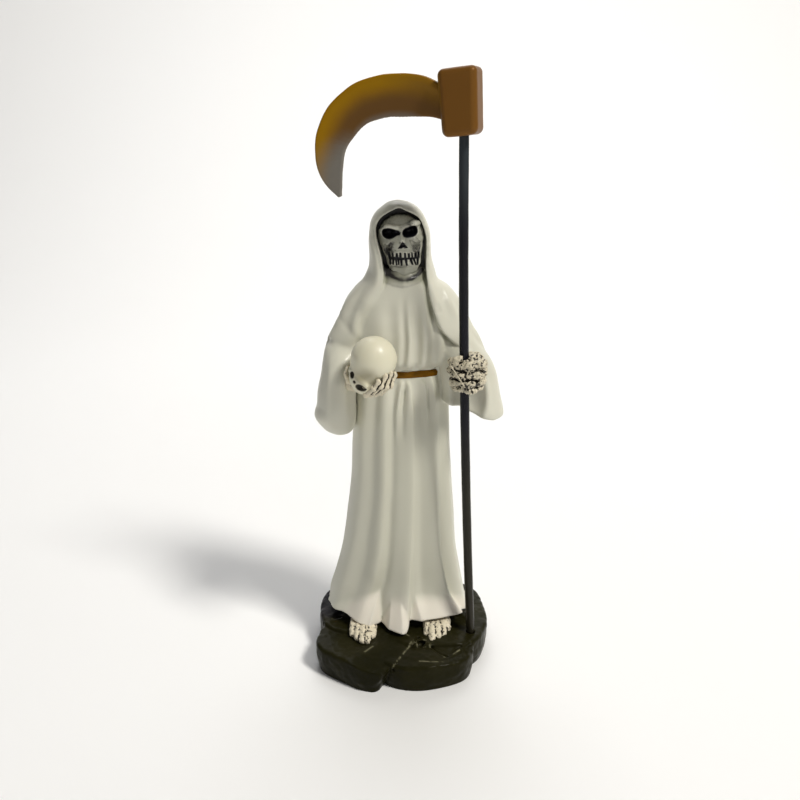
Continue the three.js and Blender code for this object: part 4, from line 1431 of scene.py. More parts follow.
@dataclass
class Fist(Form):
    """Bony fist round the staff.

    Attributes:
        grip: middle of the fist, on the staff.
        fingers: height over the grip, reach and thickness of each finger.
        bends: angles round the staff of a finger's points.
        swollen: which of those points swell to knuckles.
        bones: sideways offset and height of each bone on the back of the hand.
        lumps: size of the coarser pits.
        held: where the bore for the staff starts and ends along it.
    """

    name: str = "fist"
    low: Point = (18, -36, 148)
    high: Point = (45, -2, 177)
    voxel: float = 0.26
    grip: Point = STAFF.grip
    fingers: Rows = ((4.9, 6.4, 2.1), (0.2, 6.7, 2.1), (-3.9, 6.4, 1.8), (-7.2, 5.4, 1.6))
    bends: tuple[float, ...] = (-100, -66, -32, 4, 40, 72, 104)
    swollen: tuple[int, ...] = (0, 1, 3, 5, 6)
    bones: Rows = ((2.8, 7.8), (5.4, 7.2), (7.6, 5.6))
    lumps: float = 1.1
    held: tuple[float, float] = (120.0, 190.0)

    def finger(self, p: Array, n: int) -> Array:
        """Distance to one finger that curls round the staff.

        Args:
            p: points.
            n: which finger, from the top.

        Returns:
            Signed distances.
        """
        x, y, z = self.grip
        level, reach, thick = self.fingers[n]
        knots = []
        for k, degrees in enumerate(self.bends):
            a = math.radians(degrees)
            bend = 0.35 * math.sin(2.1 * k + 1.3 * n)
            height = z + level - 0.6 * math.cos(a) + bend
            knots.append((x + reach * 1.1 * math.sin(a), y + 0.6 - reach * math.cos(a), height))
        swell = [thick * (1.0 + 0.18 * math.sin(2.9 * k + 2.3 * n)) for k in range(len(knots))]
        finger = tube(p, knots, [0.86 * s for s in swell])
        for k in self.swollen:
            radii = (swell[k] * 1.2, swell[k] * 1.05, swell[k])
            finger = unite(finger, ellipsoid(p, knots[k], radii, (0, 14 * math.sin(k + n), 0)), 0.5)
        return finger

    def distance(self, p: Array) -> Array:
        """Distance to the fist, with the bore of the staff.

        Args:
            p: points.

        Returns:
            Signed distances.
        """
        x, y, z = self.grip
        hand = ellipsoid(p, (x + 0.6, y + 1.2, z), (7.0, 7.0, 8.8))
        wrist = tube(p, ((34.5, -5, 159), (34, -11, 160), (33, -17, 161.5)), (5.0, 4.6, 5.0))
        hand = unite(hand, wrist, 2.0)
        for n in range(len(self.fingers)):
            hand = unite(hand, self.finger(p, n), 0.3)
        base = (x - 6.0, y + 3, z + 0.5)
        joint = (x - 7.3, y - 1.4, z + 3.6)
        knuckle = (x - 5.8, y - 4.8, z + 7.0)
        tip = (x - 4.0, y - 4.8, z + 7.8)
        hand = unite(hand, tube(p, (base, joint, knuckle, tip), (1.8, 1.4, 1.8, 1.4)), 0.3)
        for side, top in self.bones:
            wrist_end = (x + side - 0.6, y + 5, z + top)
            middle = (x + side, y - 0.5, z + top)
            finger_end = (x + side - 0.6, y - 4.6, z + top - 1.8)
            hand = unite(hand, tube(p, (wrist_end, middle, finger_end), (1.3, 1.0, 1.4)), 0.3)
        cleft = ((x + 4.2, y - 9, z - 1.2), (x + 4.6, y - 9, z - 4.4), (x + 4.0, y - 8, z - 8.8))
        hand = carve(hand, tube(p, cleft, (0.7, 1.1, 0.7)), 0.5)
        hand = hand - 0.45 * noise(p, self.lumps) - 0.25 * noise(p, 2.2) - 0.25 * noise(p, 0.7)
        seam = ((22.9, -28.2, 167.7), (25.8, -30.8, 163.9), (29.5, -31.6, 158.1))
        hand = unite(hand, tube(p, seam, (0.3, 0.35, 0.3)), 0.2)
        return carve(hand, STAFF.bore(p, *self.held), 0.2)

    def masks(self, p: Array) -> dict[str, Array]:
        """Dark wash in the pits and between the fingers.

        Args:
            p: points.

        Returns:
            Each mask's values by its name.
        """
        x, y, z = self.grip
        gaps = 0.0
        for level, drop in ((3.0, 0.7), (-1.8, 0.6), (-5.5, 0.6)):
            gaps = np.maximum(gaps, bell((p[2] - z - level + 0.5) / drop))
        gaps = gaps * ramp(-(p[1] - y), 2.0, 5.0)
        pits = np.clip(-0.6 * noise(p, self.lumps) - 1.0 * noise(p, 0.7) + 0.45 * gaps - 0.05, 0, 1)
        return {"pits": pits, "aged": np.full_like(x + p[0], 0.65)}


@dataclass
class Feet(Form):
    """Bony toes that show under the hem.

    Attributes:
        ankles: where each foot starts, seen from above.
        toes: tips of each foot's toes.
        ground: height of the flat underside.
    """

    name: str = "feet"
    low: Point = (-32, -30, 12)
    high: Point = (32, 2, 24)
    voxel: float = 0.28
    ankles: Rows = ((-20.4, -8.0), (18.3, -6.0))
    toes: tuple[Rows, ...] = (
        ((-26.3, -17.8), (-23.7, -21.4), (-20.9, -24.2), (-18.0, -24.4), (-15.6, -19.6)),
        ((13.4, -17.6), (16.1, -22.4), (19.3, -20.6), (22.2, -18.0), (24.6, -13)),
    )
    ground: float = 13.5

    def distance(self, p: Array) -> Array:
        """Distance to both feet.

        Args:
            p: points.

        Returns:
            Signed distances.
        """
        feet = None
        for (ax, ay), toes in zip(self.ankles, self.toes):
            foot = ellipsoid(p, (ax, ay - 2.0, 16.8), (7.0, 10.4, 3.6))
            for x, y in toes:
                root = (ax + (x - ax) * 0.9, ay, 18.8)
                first = (root[0] * 0.5 + x * 0.5, ay * 0.5 + y * 0.5 + 0.4, 18.8)
                last = (x * 0.8 + root[0] * 0.2, y * 0.8 + ay * 0.2, 17.4)
                toe = tube(p, (root, first, last, (x, y, 16.6)), (2.0, 2.0, 1.9, 1.55))
                toe = unite(toe, ellipsoid(p, first, (2.0, 2.2, 1.8)), 0.5)
                toe = unite(toe, ellipsoid(p, (x, y + 0.6, 16.8), (1.65, 2.0, 1.6)), 0.5)
                foot = unite(foot, toe, 0.25)
            feet = foot if feet is None else np.minimum(feet, foot)
        feet = meet(feet, self.ground - p[2], 0.5)
        return feet - 0.3 * noise(p, 1.2) - 0.24 * noise(p, 2.2) - 0.2 * noise(p, 0.7)

    def masks(self, p: Array) -> dict[str, Array]:
        """Dark wash in the pits."""
        return {"pits": np.clip(-0.25 * noise(p, 1.2) - 0.8 * noise(p, 0.7) - 0.05, 0, 1)}


@dataclass
class ScytheHead(Form):
    """Block and curved blade, cast in one.

    Attributes:
        width: width of the block.
        depth: its depth.
        height: its height.
        rounding: radius of its edges.
        block_offset: how far its middle lies from the head's.
        block_extra: how much wider and taller it is carved than its sizes say.
        block_spread: how much it widens to its top, as a slope.
        reach: reach of the blade from the block's middle.
        blade: greatest width of the blade.
        spine: thickness at its outer edge.
        edge: thickness at its inner edge.
        yaw: turn of the head in degrees, seen from above.
        roll: lean of the head in degrees.
        bore_depth: how deep the staff goes into the block.
        shift: offset of the block from the staff.
        outer_line: outer edge as shares of the reach, from inside the block round to the point.
        widths: share along the outer edge, direction to the inner edge, width as a share.
        steps: points along each edge.
        bored: length of the staff's upper end that its bore is cut for.
    """

    name: str = "scythe_blade"
    low: Point = (-50, -42, 234)
    high: Point = (40, 0, 302)
    voxel: float = 0.5
    width: float = 15.4
    depth: float = 15.0
    height: float = 27.6
    rounding: float = 2.9
    block_offset: Point = (0.9, 0.0, 0.2)
    block_extra: tuple[float, float] = (0.4, 0.6)
    block_spread: float = 0.062
    reach: float = 71.0
    blade: float = 18.2
    spine: float = 4.4
    edge: float = 1.2
    yaw: float = 18.0
    roll: float = 6.0
    bore_depth: float = 11.4
    shift: float = 0.6
    outer_line: Rows = (
        (0.04, 0.07), (0.145, 0.134), (0.217, 0.176), (0.311, 0.203), (0.407, 0.214), (0.506, 0.217),
        (0.66, 0.193), (0.77, 0.142), (0.873, 0.067), (0.944, -0.03), (0.989, -0.137), (0.998, -0.287),
        (0.958, -0.406), (0.877, -0.499),
    )  # fmt: skip
    widths: Rows = (
        (0, -90, 0.78), (0.08, -91, 0.86), (0.2, -88, 1), (0.32, -91, 1), (0.43, -104, 0.99),
        (0.51, -116, 0.97), (0.59, -128, 0.97), (0.67, -142, 0.89), (0.74, -153, 0.82), (0.84, -166, 0.69),
        (0.92, -172, 0.46), (1, -200, 0.1),
    )  # fmt: skip
    steps: int = 60
    bored: float = 60.0

    def __post_init__(self) -> None:
        """Finds the middle of the head and the outline of its blade."""
        roll, yaw = math.radians(self.roll), math.radians(self.yaw)
        up = np.array([-math.sin(roll), 0.0, math.cos(roll)])
        ahead = np.array([-math.cos(yaw), math.sin(yaw), 0.0])
        top = STAFF.point(STAFF.length)
        self.middle = top + up * (self.height / 2 - self.bore_depth) + ahead * self.shift
        self.outer, inner = self.edges()
        self.outline = Outline(np.concatenate([self.outer, inner[::-1]]), smooth=False)

    def edges(self) -> tuple[Array, Array]:
        """Points along the blade's outer and inner edges.

        Returns:
            Points of the outer edge and of the inner edge.
        """
        ends = np.array([self.outer_line[0], *self.outer_line, self.outer_line[-1]])
        parts = 12
        rough = Outline.spline(ends, parts)[parts : parts * len(self.outer_line) + 1] * self.reach
        passed = np.concatenate([[0], np.cumsum(np.linalg.norm(np.diff(rough, axis=0), axis=1))])
        t = np.linspace(0, 1, self.steps + 1)
        outer = np.stack([np.interp(t * passed[-1], passed, rough[:, k]) for k in (0, 1)], axis=1)
        direction, share = smooth_rows(self.widths, t).T
        width = self.blade * share
        inward = (np.cos(np.radians(direction)) * width, np.sin(np.radians(direction)) * width)
        return outer, outer + np.stack(inward, axis=1)

    def own(self, p: Array) -> list[Array]:
        """Points in the head's frame, with X along the blade and Z up."""
        return turned(p, self.middle, (0.0, self.roll, 180.0 - self.yaw))

    def across(self, x: Array, z: Array) -> tuple[Array, Array]:
        """How far points lie from the outer edge.

        Args:
            x: places along the blade.
            z: heights in the head's frame.

        Returns:
            Distance from the edge, and the share along it of the nearest point.
        """
        near = np.full_like(x, 1e9)
        place = np.zeros_like(x)
        for k in range(0, self.steps, 2):
            a, b = self.outer[k], self.outer[k + 2]
            step = b - a
            t = np.clip(((x - a[0]) * step[0] + (z - a[1]) * step[1]) / float(step @ step), 0, 1)
            d = (x - a[0] - step[0] * t) ** 2 + (z - a[1] - step[1] * t) ** 2
            closer = d < near
            near = np.where(closer, d, near)
            place = np.where(closer, (k + 2 * t) / self.steps, place)
        return np.sqrt(near), place

    def distance(self, p: Array) -> Array:
        """Distance to block and blade, with the bore of the staff.

        Args:
            p: points.

        Returns:
            Signed distances.
        """
        x, y, z = self.own(p)
        spread = self.block_spread * (z + self.height / 2) * ramp(-x, 0.0, 5.0)
        wider, taller = self.block_extra
        size = (self.width + wider, self.depth, self.height + taller)
        block = box((x + spread, y, z), self.block_offset, size, rounding=self.rounding)
        away, place = self.across(x, z)
        share = np.clip(away / self.blade, 0, 1)
        half = (self.spine + (self.edge - self.spine) * share) / 2 * (1.0 - 0.5 * ramp(place, 0.8, 1.0))
        ridge = 0.5 * bell((away - 2.6) / 1.3) * (1 - ramp(place, 0.1, 0.35))
        blade = meet(self.outline.at(x, z), np.abs(y) - half - ridge, 1.1)
        head = unite(block, blade, 0.8) - 0.05 * noise(p, 4.0)
        return carve(head, STAFF.bore(p, STAFF.length - self.bored, STAFF.length + 0.2), 0.2)

    def masks(self, p: Array) -> dict[str, Array]:
        """Where along and across the blade a point lies, and whether it is on the block.

        Args:
            p: points.

        Returns:
            Each mask's values by its name.
        """
        x, _, z = self.own(p)
        away, place = self.across(x, z)
        block = 1.0 - ramp(x, self.width / 2 - 0.6, self.width / 2 + 0.3)
        return {"across": np.clip(away / self.blade, 0, 1), "along": place, "block": block}


# From distances to meshes


@dataclass(frozen=True)
class Sculptor:
    """Turns forms into meshes.

    Attributes:
        grow: how much coarser than their voxel the forms are carved.
        block: voxels along the side of a block of samples.
        chunk: blocks that are sampled together.
        reaches: how far out each mask of open space looks, in millimetres.
        edge_reach: how far inwards the mask of the edges looks.
        probe: share of a block's side over which the slope is measured.
        margin: distance from the skin, in sides, up to which blocks are sampled.
        rounds: how often points are moved onto the skin.
        settle_step: share of a voxel over which normals are measured.
        least_slope: smallest squared slope that is divided by.
    """

    grow: float = 1.0
    block: int = 8
    chunk: int = 900
    reaches: tuple[tuple[str, float], ...] = (("cavity", 0.7), ("hollow", 2.6))
    edge_reach: float = 0.8
    probe: float = 0.25
    margin: float = 1.15
    rounds: int = 2
    settle_step: float = 0.35
    least_slope: float = 0.05

    def sculpt(self, form: Form) -> bpy.types.Object:
        """Makes a form's object.

        Args:
            form: the solid to carve.

        Returns:
            Its object, in metres, with its paint masks as attributes.
        """
        voxel = form.voxel * self.grow
        low = np.array(form.low, dtype=np.float32)
        blocks = np.ceil((np.array(form.high) - low) / (voxel * self.block)).astype(int)
        side = voxel * self.block
        places = np.meshgrid(*[np.arange(n) for n in blocks], indexing="ij")
        centres = np.stack(places, axis=0).reshape(3, -1)
        points = (low[:, None] + (centres + 0.5) * side).astype(np.float32)
        near = form.distance(points)
        slope = self.slope(form, points, near, self.probe * side)
        active = np.abs(near) / np.maximum(slope, 1.0) < side * self.margin
        coarse = np.where(near < 0, -side, side).astype(np.float32).reshape(blocks)
        dense = np.repeat(np.repeat(np.repeat(coarse, self.block, 0), self.block, 1), self.block, 2)
        offsets = np.stack(np.meshgrid(*[np.arange(self.block)] * 3, indexing="ij"), 0).reshape(3, 1, -1)
        chosen = centres[:, active]
        for start in range(0, chosen.shape[1], self.chunk):
            cell = chosen[:, start : start + self.chunk, None] * self.block + offsets
            cell = cell.reshape(3, -1)
            spots = low[:, None] + cell.astype(np.float32) * np.float32(voxel)
            dense[cell[0], cell[1], cell[2]] = form.distance(spots)
        grid = vdb.FloatGrid(float(side))
        grid.copyFromArray(np.ascontiguousarray(np.clip(dense, -side, side)))
        corners, quads = grid.convertToQuads(0.0)
        skin = (low[:, None] + corners.T * voxel).astype(np.float32)
        skin, normals = self.settle(form, skin, voxel)
        masks = form.masks(skin)
        for key, reach in self.reaches:
            open_to = form.distance(skin + normals * np.float32(reach))
            masks[key] = np.clip(1.0 - open_to / reach, 0.0, 1.0)
        inside = form.distance(skin - normals * np.float32(self.edge_reach))
        masks["edge"] = np.clip(1.0 + inside / self.edge_reach, 0.0, 1.0)
        return self.to_object(form.name, skin.T, quads, masks)

    @staticmethod
    def slope(form: Form, points: Array, near: Array, step: float) -> Array:
        """Length of the distance's gradient.

        Args:
            form: the solid to carve.
            points: points to measure at.
            near: distances there.
            step: how far apart to measure.

        Returns:
            Lengths, one for a true distance.
        """
        total = 0.0
        for axis in range(3):
            moved = points.copy()
            moved[axis] += step
            total = total + ((form.distance(moved) - near) / step) ** 2
        return np.sqrt(total)

    def settle(self, form: Form, skin: Array, voxel: float) -> tuple[Array, Array]:
        """Moves points onto the true skin and gives the normals there.

        Args:
            form: the solid to carve.
            skin: points near the skin.
            voxel: fineness of the carving in millimetres.

        Returns:
            Points on the skin and their normals.
        """
        step = np.float32(self.settle_step * voxel)
        for _ in range(self.rounds):
            near = form.distance(skin)
            gradient = np.zeros_like(skin)
            for axis in range(3):
                moved = skin.copy()
                moved[axis] += step
                gradient[axis] = (form.distance(moved) - near) / step
            size = np.maximum((gradient**2).sum(axis=0), self.least_slope)
            shift = np.clip(near / size, -voxel, voxel)
            normals = gradient / np.sqrt(size)
            skin = skin - gradient * shift
        return skin, normals

    @staticmethod
    def to_object(name: str, points: Array, quads: Array, masks: dict[str, Array]) -> bpy.types.Object:
        """Mesh object from points in millimetres, quads and masks.

        Args:
            name: its name.
            points: corners in millimetres.
            quads: corners of each face.
            masks: values of each mask at the corners.

        Returns:
            The object, in metres.
        """
        mesh = bpy.data.meshes.new(name)
        mesh.vertices.add(len(points))
        mesh.vertices.foreach_set("co", (points * MM).astype(np.float32).ravel())
        a, b, c = (points[quads[:, k]] for k in (0, 1, 2))
        volume = np.einsum("ij,ij->i", a, np.cross(b, c)).sum()
        faces = quads if volume > 0 else quads[:, ::-1]
        mesh.loops.add(faces.size)
        mesh.loops.foreach_set("vertex_index", np.ascontiguousarray(faces).ravel().astype(np.int32))
        mesh.polygons.add(len(faces))
        mesh.polygons.foreach_set("loop_start", np.arange(0, faces.size, 4, dtype=np.int32))
        mesh.polygons.foreach_set("use_smooth", np.ones(len(faces), dtype=bool))
        mesh.update(calc_edges=True)
        for key, values in masks.items():
            layer = mesh.attributes.new(key, "FLOAT", "POINT")
            layer.data.foreach_set("value", np.asarray(values, dtype=np.float32))
        return linked(name, mesh)


# Paint


class Tone(Enum):
    """Linear colours of the paints."""

    CREAM = (0.66, 0.65, 0.55)
    # painted light: lighter cream for the lit flares of the hem
    PAINTED_LIGHT_CREAM = (0.84, 0.79, 0.69)
    OLIVE_SHADE = (0.36, 0.36, 0.27)
    # painted shade in the hood and on the skull, and the dark paint of the small skull's sockets
    DARK_SHADE_AND_WASH = (0.019, 0.017, 0.016)
    SPECK = (0.05, 0.05, 0.03)
    BONE = (0.74, 0.67, 0.51)
    BONE_OLIVE = (0.27, 0.25, 0.17)
    BONE_WASH = (0.022, 0.017, 0.011)
    SKULL = (0.35, 0.35, 0.285)
    # painted highlights on the skull's brow, forehead and nose, and its worn light edges
    SKULL_HIGHLIGHT_AND_WEAR = (0.72, 0.71, 0.6)
    BLACK = (0.003, 0.003, 0.006)
    BALL = (0.72, 0.69, 0.53)
    BALL_SHADE = (0.30, 0.27, 0.17)
    ROCK = (0.011, 0.0105, 0.0035)
    ROCK_WARM = (0.017, 0.0155, 0.0045)
    ROCK_VIOLET = (0.010, 0.008, 0.012)
    # painted highlights and glints along the rock's edges
    ROCK_HIGHLIGHT = (0.19, 0.18, 0.11)
    BELT = (0.155, 0.066, 0.001)
    BELT_EDGE = (0.09, 0.045, 0.006)
    STAFF = (0.004, 0.004, 0.008)
    STAFF_WARM = (0.020, 0.018, 0.011)
    STAFF_SLATE = (0.028, 0.034, 0.040)
    COPPER = (0.17, 0.075, 0.014)
    # painted highlights on the block's edges
    COPPER_HIGHLIGHT = (0.50, 0.22, 0.06)
    OCHRE = (0.33, 0.165, 0.003)
    BROWN = (0.14, 0.068, 0.018)
    SILVER = (0.19, 0.175, 0.15)


@dataclass(frozen=True)
class Finish:
    """Shader values that are the same all over a paint.

    Attributes:
        roughness: how matt it is.
        coat: strength of the clear coat.
        metallic: share of metal.
        subsurface: share of light that enters it.
        specular: strength of its shine.
        coat_roughness: how matt the clear coat is.
        scatter: how far light of each colour travels inside, in metres.
    """

    roughness: float
    coat: float = 0.0
    metallic: float = 0.0
    subsurface: float = 0.0
    specular: float = 0.5
    coat_roughness: float = 0.14
    scatter: Point = (0.004, 0.003, 0.002)


class Shade:
    """Builds one node material."""

    def __init__(self, name: str, finish: Finish) -> None:
        """Makes a material with the finish's values.

        Args:
            name: its name.
            finish: values that are the same all over.
        """
        self.material = bpy.data.materials.new(name)
        self.material.use_nodes = True
        self.nodes = self.material.node_tree.nodes
        self.links = self.material.node_tree.links
        self.nodes.clear()
        output = self.nodes.new("ShaderNodeOutputMaterial")
        self.shader = self.nodes.new("ShaderNodeBsdfPrincipled")
        self.links.new(self.shader.outputs["BSDF"], output.inputs["Surface"])
        values = {
            "Roughness": finish.roughness,
            "Metallic": finish.metallic,
            "Coat Weight": finish.coat,
            "Coat Roughness": finish.coat_roughness,
            "Specular IOR Level": finish.specular,
            "Subsurface Weight": finish.subsurface,
            "Subsurface Radius": finish.scatter,
            "Subsurface Scale": 1.0,
        }
        for socket, value in values.items():
            self.shader.inputs[socket].default_value = value

    def colour(self, tone: Tone) -> Socket:
        """A plain colour.

        Args:
            tone: the colour.

        Returns:
            The socket that gives it.
        """
        node = self.nodes.new("ShaderNodeRGB")
        node.outputs[0].default_value = (*tone.value, 1.0)
        return node.outputs[0]

    def mask(self, name: str) -> Socket:
        """One of the carved masks.

        Args:
            name: name of the mask.

        Returns:
            The socket that gives it.
        """
        node = self.nodes.new("ShaderNodeAttribute")
        node.attribute_name = name
        return node.outputs["Fac"]

    def steps(self, value: Socket, start: float, end: float) -> Socket:
        """Smooth step of a value from zero at start to one at end.

        Args:
            value: value to read.
            start: where the step starts.
            end: where it ends.

        Returns:
            The socket that gives it.
        """
        node = self.nodes.new("ShaderNodeMapRange")
        node.interpolation_type = "SMOOTHSTEP"
        self.links.new(value, node.inputs["Value"])
        node.inputs["From Min"].default_value = start
        node.inputs["From Max"].default_value = end
        return node.outputs["Result"]

    def math(self, kind: str, a: Socket | float, b: Socket | float) -> Socket:
        """Arithmetic on two values, kept within zero and one.

        Args:
            kind: name of the operation.
            a: first value.
            b: second value.

        Returns:
            The socket that gives it.
        """
        node = self.nodes.new("ShaderNodeMath")
        node.operation = kind
        node.use_clamp = True
        for socket, value in zip(node.inputs, (a, b)):
            if isinstance(value, (int, float)):
                socket.default_value = value
            else:
                self.links.new(value, socket)
        return node.outputs[0]

    def blend(self, amount: Socket, first: Socket | Tone, second: Socket | Tone) -> Socket:
        """Mix of two colours.

        Args:
            amount: share of the second colour.
            first: first colour.
            second: second colour.

        Returns:
            The socket that gives it.
        """
        node = self.nodes.new("ShaderNodeMix")
        node.data_type = "RGBA"
        self.links.new(amount, node.inputs["Factor"])
        for key, value in (("A", first), ("B", second)):
            colour = self.colour(value) if isinstance(value, Tone) else value
            self.links.new(colour, node.inputs[key])
        return node.outputs["Result"]

    def grain(self, size: float, detail: float = 3.0) -> Socket:
        """Noise of a size in metres.

        Args:
            size: size of the grain in metres.
            detail: how many finer layers it has.

        Returns:
            The socket that gives it.
        """
        group = self.nodes.new("ShaderNodeGroup")
        group.node_tree = grain_group()
        group.inputs["Scale"].default_value = 1.0 / size
        group.inputs["Detail"].default_value = detail
        return group.outputs["Value"]

    def speck(self, place: Sequence[float], radius: float) -> Socket:
        """One inside a small ball, with its place and radius in millimetres.

        Args:
            place: middle of the ball.
            radius: its radius.

        Returns:
            The socket that gives it.
        """
        group = self.nodes.new("ShaderNodeGroup")
        group.node_tree = speck_group()
        group.inputs["Place"].default_value = [c * MM for c in place]
        group.inputs["Radius"].default_value = radius * MM
        return group.outputs["Value"]

    def bump(self, height: Socket, strength: float, distance: float) -> None:
        """Fine relief.

        Args:
            height: the relief.
            strength: how strongly it shows.
            distance: its height in metres.
        """
        node = self.nodes.new("ShaderNodeBump")
        node.inputs["Strength"].default_value = strength
        node.inputs["Distance"].default_value = distance
        self.links.new(height, node.inputs["Height"])
        self.links.new(node.outputs["Normal"], self.shader.inputs["Normal"])

    def paint(self, colour: Socket) -> None:
        """Sets the paint's colour."""
        self.links.new(colour, self.shader.inputs["Base Color"])


def grain_group() -> bpy.types.NodeTree:
    """Shared group: noise in the object's own space.

    Returns:
        The group's node tree.
    """
    found = bpy.data.node_groups.get("paint_grain")
    if found:
        return found
    tree = bpy.data.node_groups.new("paint_grain", "ShaderNodeTree")
    scale = tree.interface.new_socket("Scale", in_out="INPUT", socket_type="NodeSocketFloat")
    scale.default_value = 100.0
    tree.interface.new_socket("Detail", in_out="INPUT", socket_type="NodeSocketFloat")
    tree.interface.new_socket("Value", in_out="OUTPUT", socket_type="NodeSocketFloat")
    start = tree.nodes.new("NodeGroupInput")
    place = tree.nodes.new("ShaderNodeTexCoord")
    texture = tree.nodes.new("ShaderNodeTexNoise")
    end = tree.nodes.new("NodeGroupOutput")
    tree.links.new(place.outputs["Object"], texture.inputs["Vector"])
    tree.links.new(start.outputs["Scale"], texture.inputs["Scale"])
    tree.links.new(start.outputs["Detail"], texture.inputs["Detail"])
    tree.links.new(texture.outputs["Fac"], end.inputs["Value"])
    return tree


def speck_group() -> bpy.types.NodeTree:
    """Shared group: one round speck at a place on the object.

    Returns:
        The group's node tree.
    """
    found = bpy.data.node_groups.get("paint_speck")
    if found:
        return found
    tree = bpy.data.node_groups.new("paint_speck", "ShaderNodeTree")
    tree.interface.new_socket("Place", in_out="INPUT", socket_type="NodeSocketVector")
    tree.interface.new_socket("Radius", in_out="INPUT", socket_type="NodeSocketFloat")
    tree.interface.new_socket("Value", in_out="OUTPUT", socket_type="NodeSocketFloat")
    start = tree.nodes.new("NodeGroupInput")
    place = tree.nodes.new("ShaderNodeTexCoord")
    away = tree.nodes.new("ShaderNodeVectorMath")
    away.operation = "DISTANCE"
    within = tree.nodes.new("ShaderNodeMath")
    within.operation = "LESS_THAN"
    end = tree.nodes.new("NodeGroupOutput")
    tree.links.new(place.outputs["Object"], away.inputs[0])
    tree.links.new(start.outputs["Place"], away.inputs[1])
    tree.links.new(away.outputs["Value"], within.inputs[0])
    tree.links.new(start.outputs["Radius"], within.inputs[1])
    tree.links.new(within.outputs[0], end.inputs["Value"])
    return tree


def robe_paint(specks: Rows = ()) -> bpy.types.Material:
    """Satin off-white paint, greyed with painted shade in the folds, in the hood and under the chin, and
    lightened with painted light on the hem's flares.

    Args:
        specks: place and radius in millimetres of each dark speck.

    Returns:
        The material.
    """
    s = Shade("robe_paint", Finish(roughness=0.44, coat=0.14, subsurface=0.03, specular=0.35))
    # painted shade: the folds grey towards olive
    folds = s.steps(s.mask("hollow"), 0.3, 0.95)
    colour = s.blend(folds, Tone.CREAM, Tone.OLIVE_SHADE)
    patch = s.math("MULTIPLY", s.steps(s.grain(0.03), 0.5, 0.75), 0.2)
    # painted shade at the neck and over the skirt's middle, with random olive patches
    colour = s.blend(s.math("MAXIMUM", patch, s.mask("painted_shade")), colour, Tone.OLIVE_SHADE)
    # painted light on the hem's flares and the front flap
    colour = s.blend(s.mask("painted_hem_light"), colour, Tone.PAINTED_LIGHT_CREAM)
    # painted shade inside the hood and under the chin
    ragged = s.math("ADD", s.mask("shade_and_stain"), s.math("MULTIPLY", s.grain(0.002), 0.25))
    colour = s.blend(s.steps(ragged, 0.2, 0.95), colour, Tone.DARK_SHADE_AND_WASH)
    for *place, radius in specks:
        colour = s.blend(s.speck(place, radius), colour, Tone.SPECK)
    s.paint(colour)
    s.bump(s.grain(0.004), 0.1, 0.0004)
    return s.material


def bone_paint() -> bpy.types.Material:
    """Cream bone with a dark wash left in its pits.

    Returns:
        The material.
    """
    s = Shade("bone_paint", Finish(roughness=0.45, coat=0.1, specular=0.4))
    pits = s.math("ADD", s.mask("cavity"), s.math("MULTIPLY", s.mask("hollow"), 0.3))
    pits = s.math("ADD", pits, s.math("MULTIPLY", s.mask("pits"), 0.8))
    ragged = s.math("SUBTRACT", s.math("ADD", pits, s.math("MULTIPLY", s.grain(0.0011), 0.5)), 0.25)
    aged = s.math("MULTIPLY", s.mask("aged"), s.steps(s.grain(0.0009), 0.25, 0.7))
    colour = s.blend(aged, Tone.BONE, Tone.BONE_OLIVE)
    colour = s.blend(s.steps(ragged, 0.32, 0.72), colour, Tone.BONE_WASH)
    s.paint(colour)
    s.bump(s.grain(0.0012), 0.35, 0.0003)
    return s.material


def face_paint() -> bpy.types.Material:
    """Greenish grey skull with painted highlights and worn light edges on the brow, painted shade in its
    hollows, and black sockets and teeth gaps.

    Returns:
        The material.
    """
    s = Shade("face_paint", Finish(roughness=0.36, coat=0.15, specular=0.4))
    # painted highlights and worn light edges
    highlight_and_wear = s.math("MAXIMUM", s.math("MULTIPLY", s.steps(s.mask("edge"), 0.2, 0.6), 0.6), s.mask("light"))
    colour = s.blend(highlight_and_wear, Tone.SKULL, Tone.SKULL_HIGHLIGHT_AND_WEAR)
    # painted shade in the hollows and under the hood, with a stain over the brow
    shade_and_stain = s.math("ADD", s.mask("shade_and_stain"), s.math("MULTIPLY", s.mask("cavity"), 0.9))
    ragged = s.math("ADD", shade_and_stain, s.math("MULTIPLY", s.grain(0.0016), 0.34))
    ragged = s.math("ADD", ragged, s.math("MULTIPLY", s.steps(s.grain(0.0011), 0.48, 0.72), 0.3))
    colour = s.blend(s.steps(ragged, 0.3, 1.1), colour, Tone.DARK_SHADE_AND_WASH)
    colour = s.blend(s.mask("black"), colour, Tone.BLACK)
    s.paint(colour)
    s.bump(s.grain(0.0015), 0.2, 0.0003)
    return s.material


def ball_paint() -> bpy.types.Material:
    """Smooth cream paint with painted shade on its lower left and in its hollows.

    Returns:
        The material.
    """
    s = Shade("ball_paint", Finish(roughness=0.42, coat=0.1, subsurface=0.08))
    # painted shade on the lower left and in the hollows
    shade = s.math("ADD", s.mask("shade_and_stain"), s.math("MULTIPLY", s.mask("hollow"), 0.3))
    colour = s.blend(shade, Tone.BALL, Tone.BALL_SHADE)
    dark = s.math("MULTIPLY", s.mask("black"), 0.93)
    s.paint(s.blend(dark, colour, Tone.DARK_SHADE_AND_WASH))
    s.bump(s.grain(0.003), 0.08, 0.0003)
    return s.material


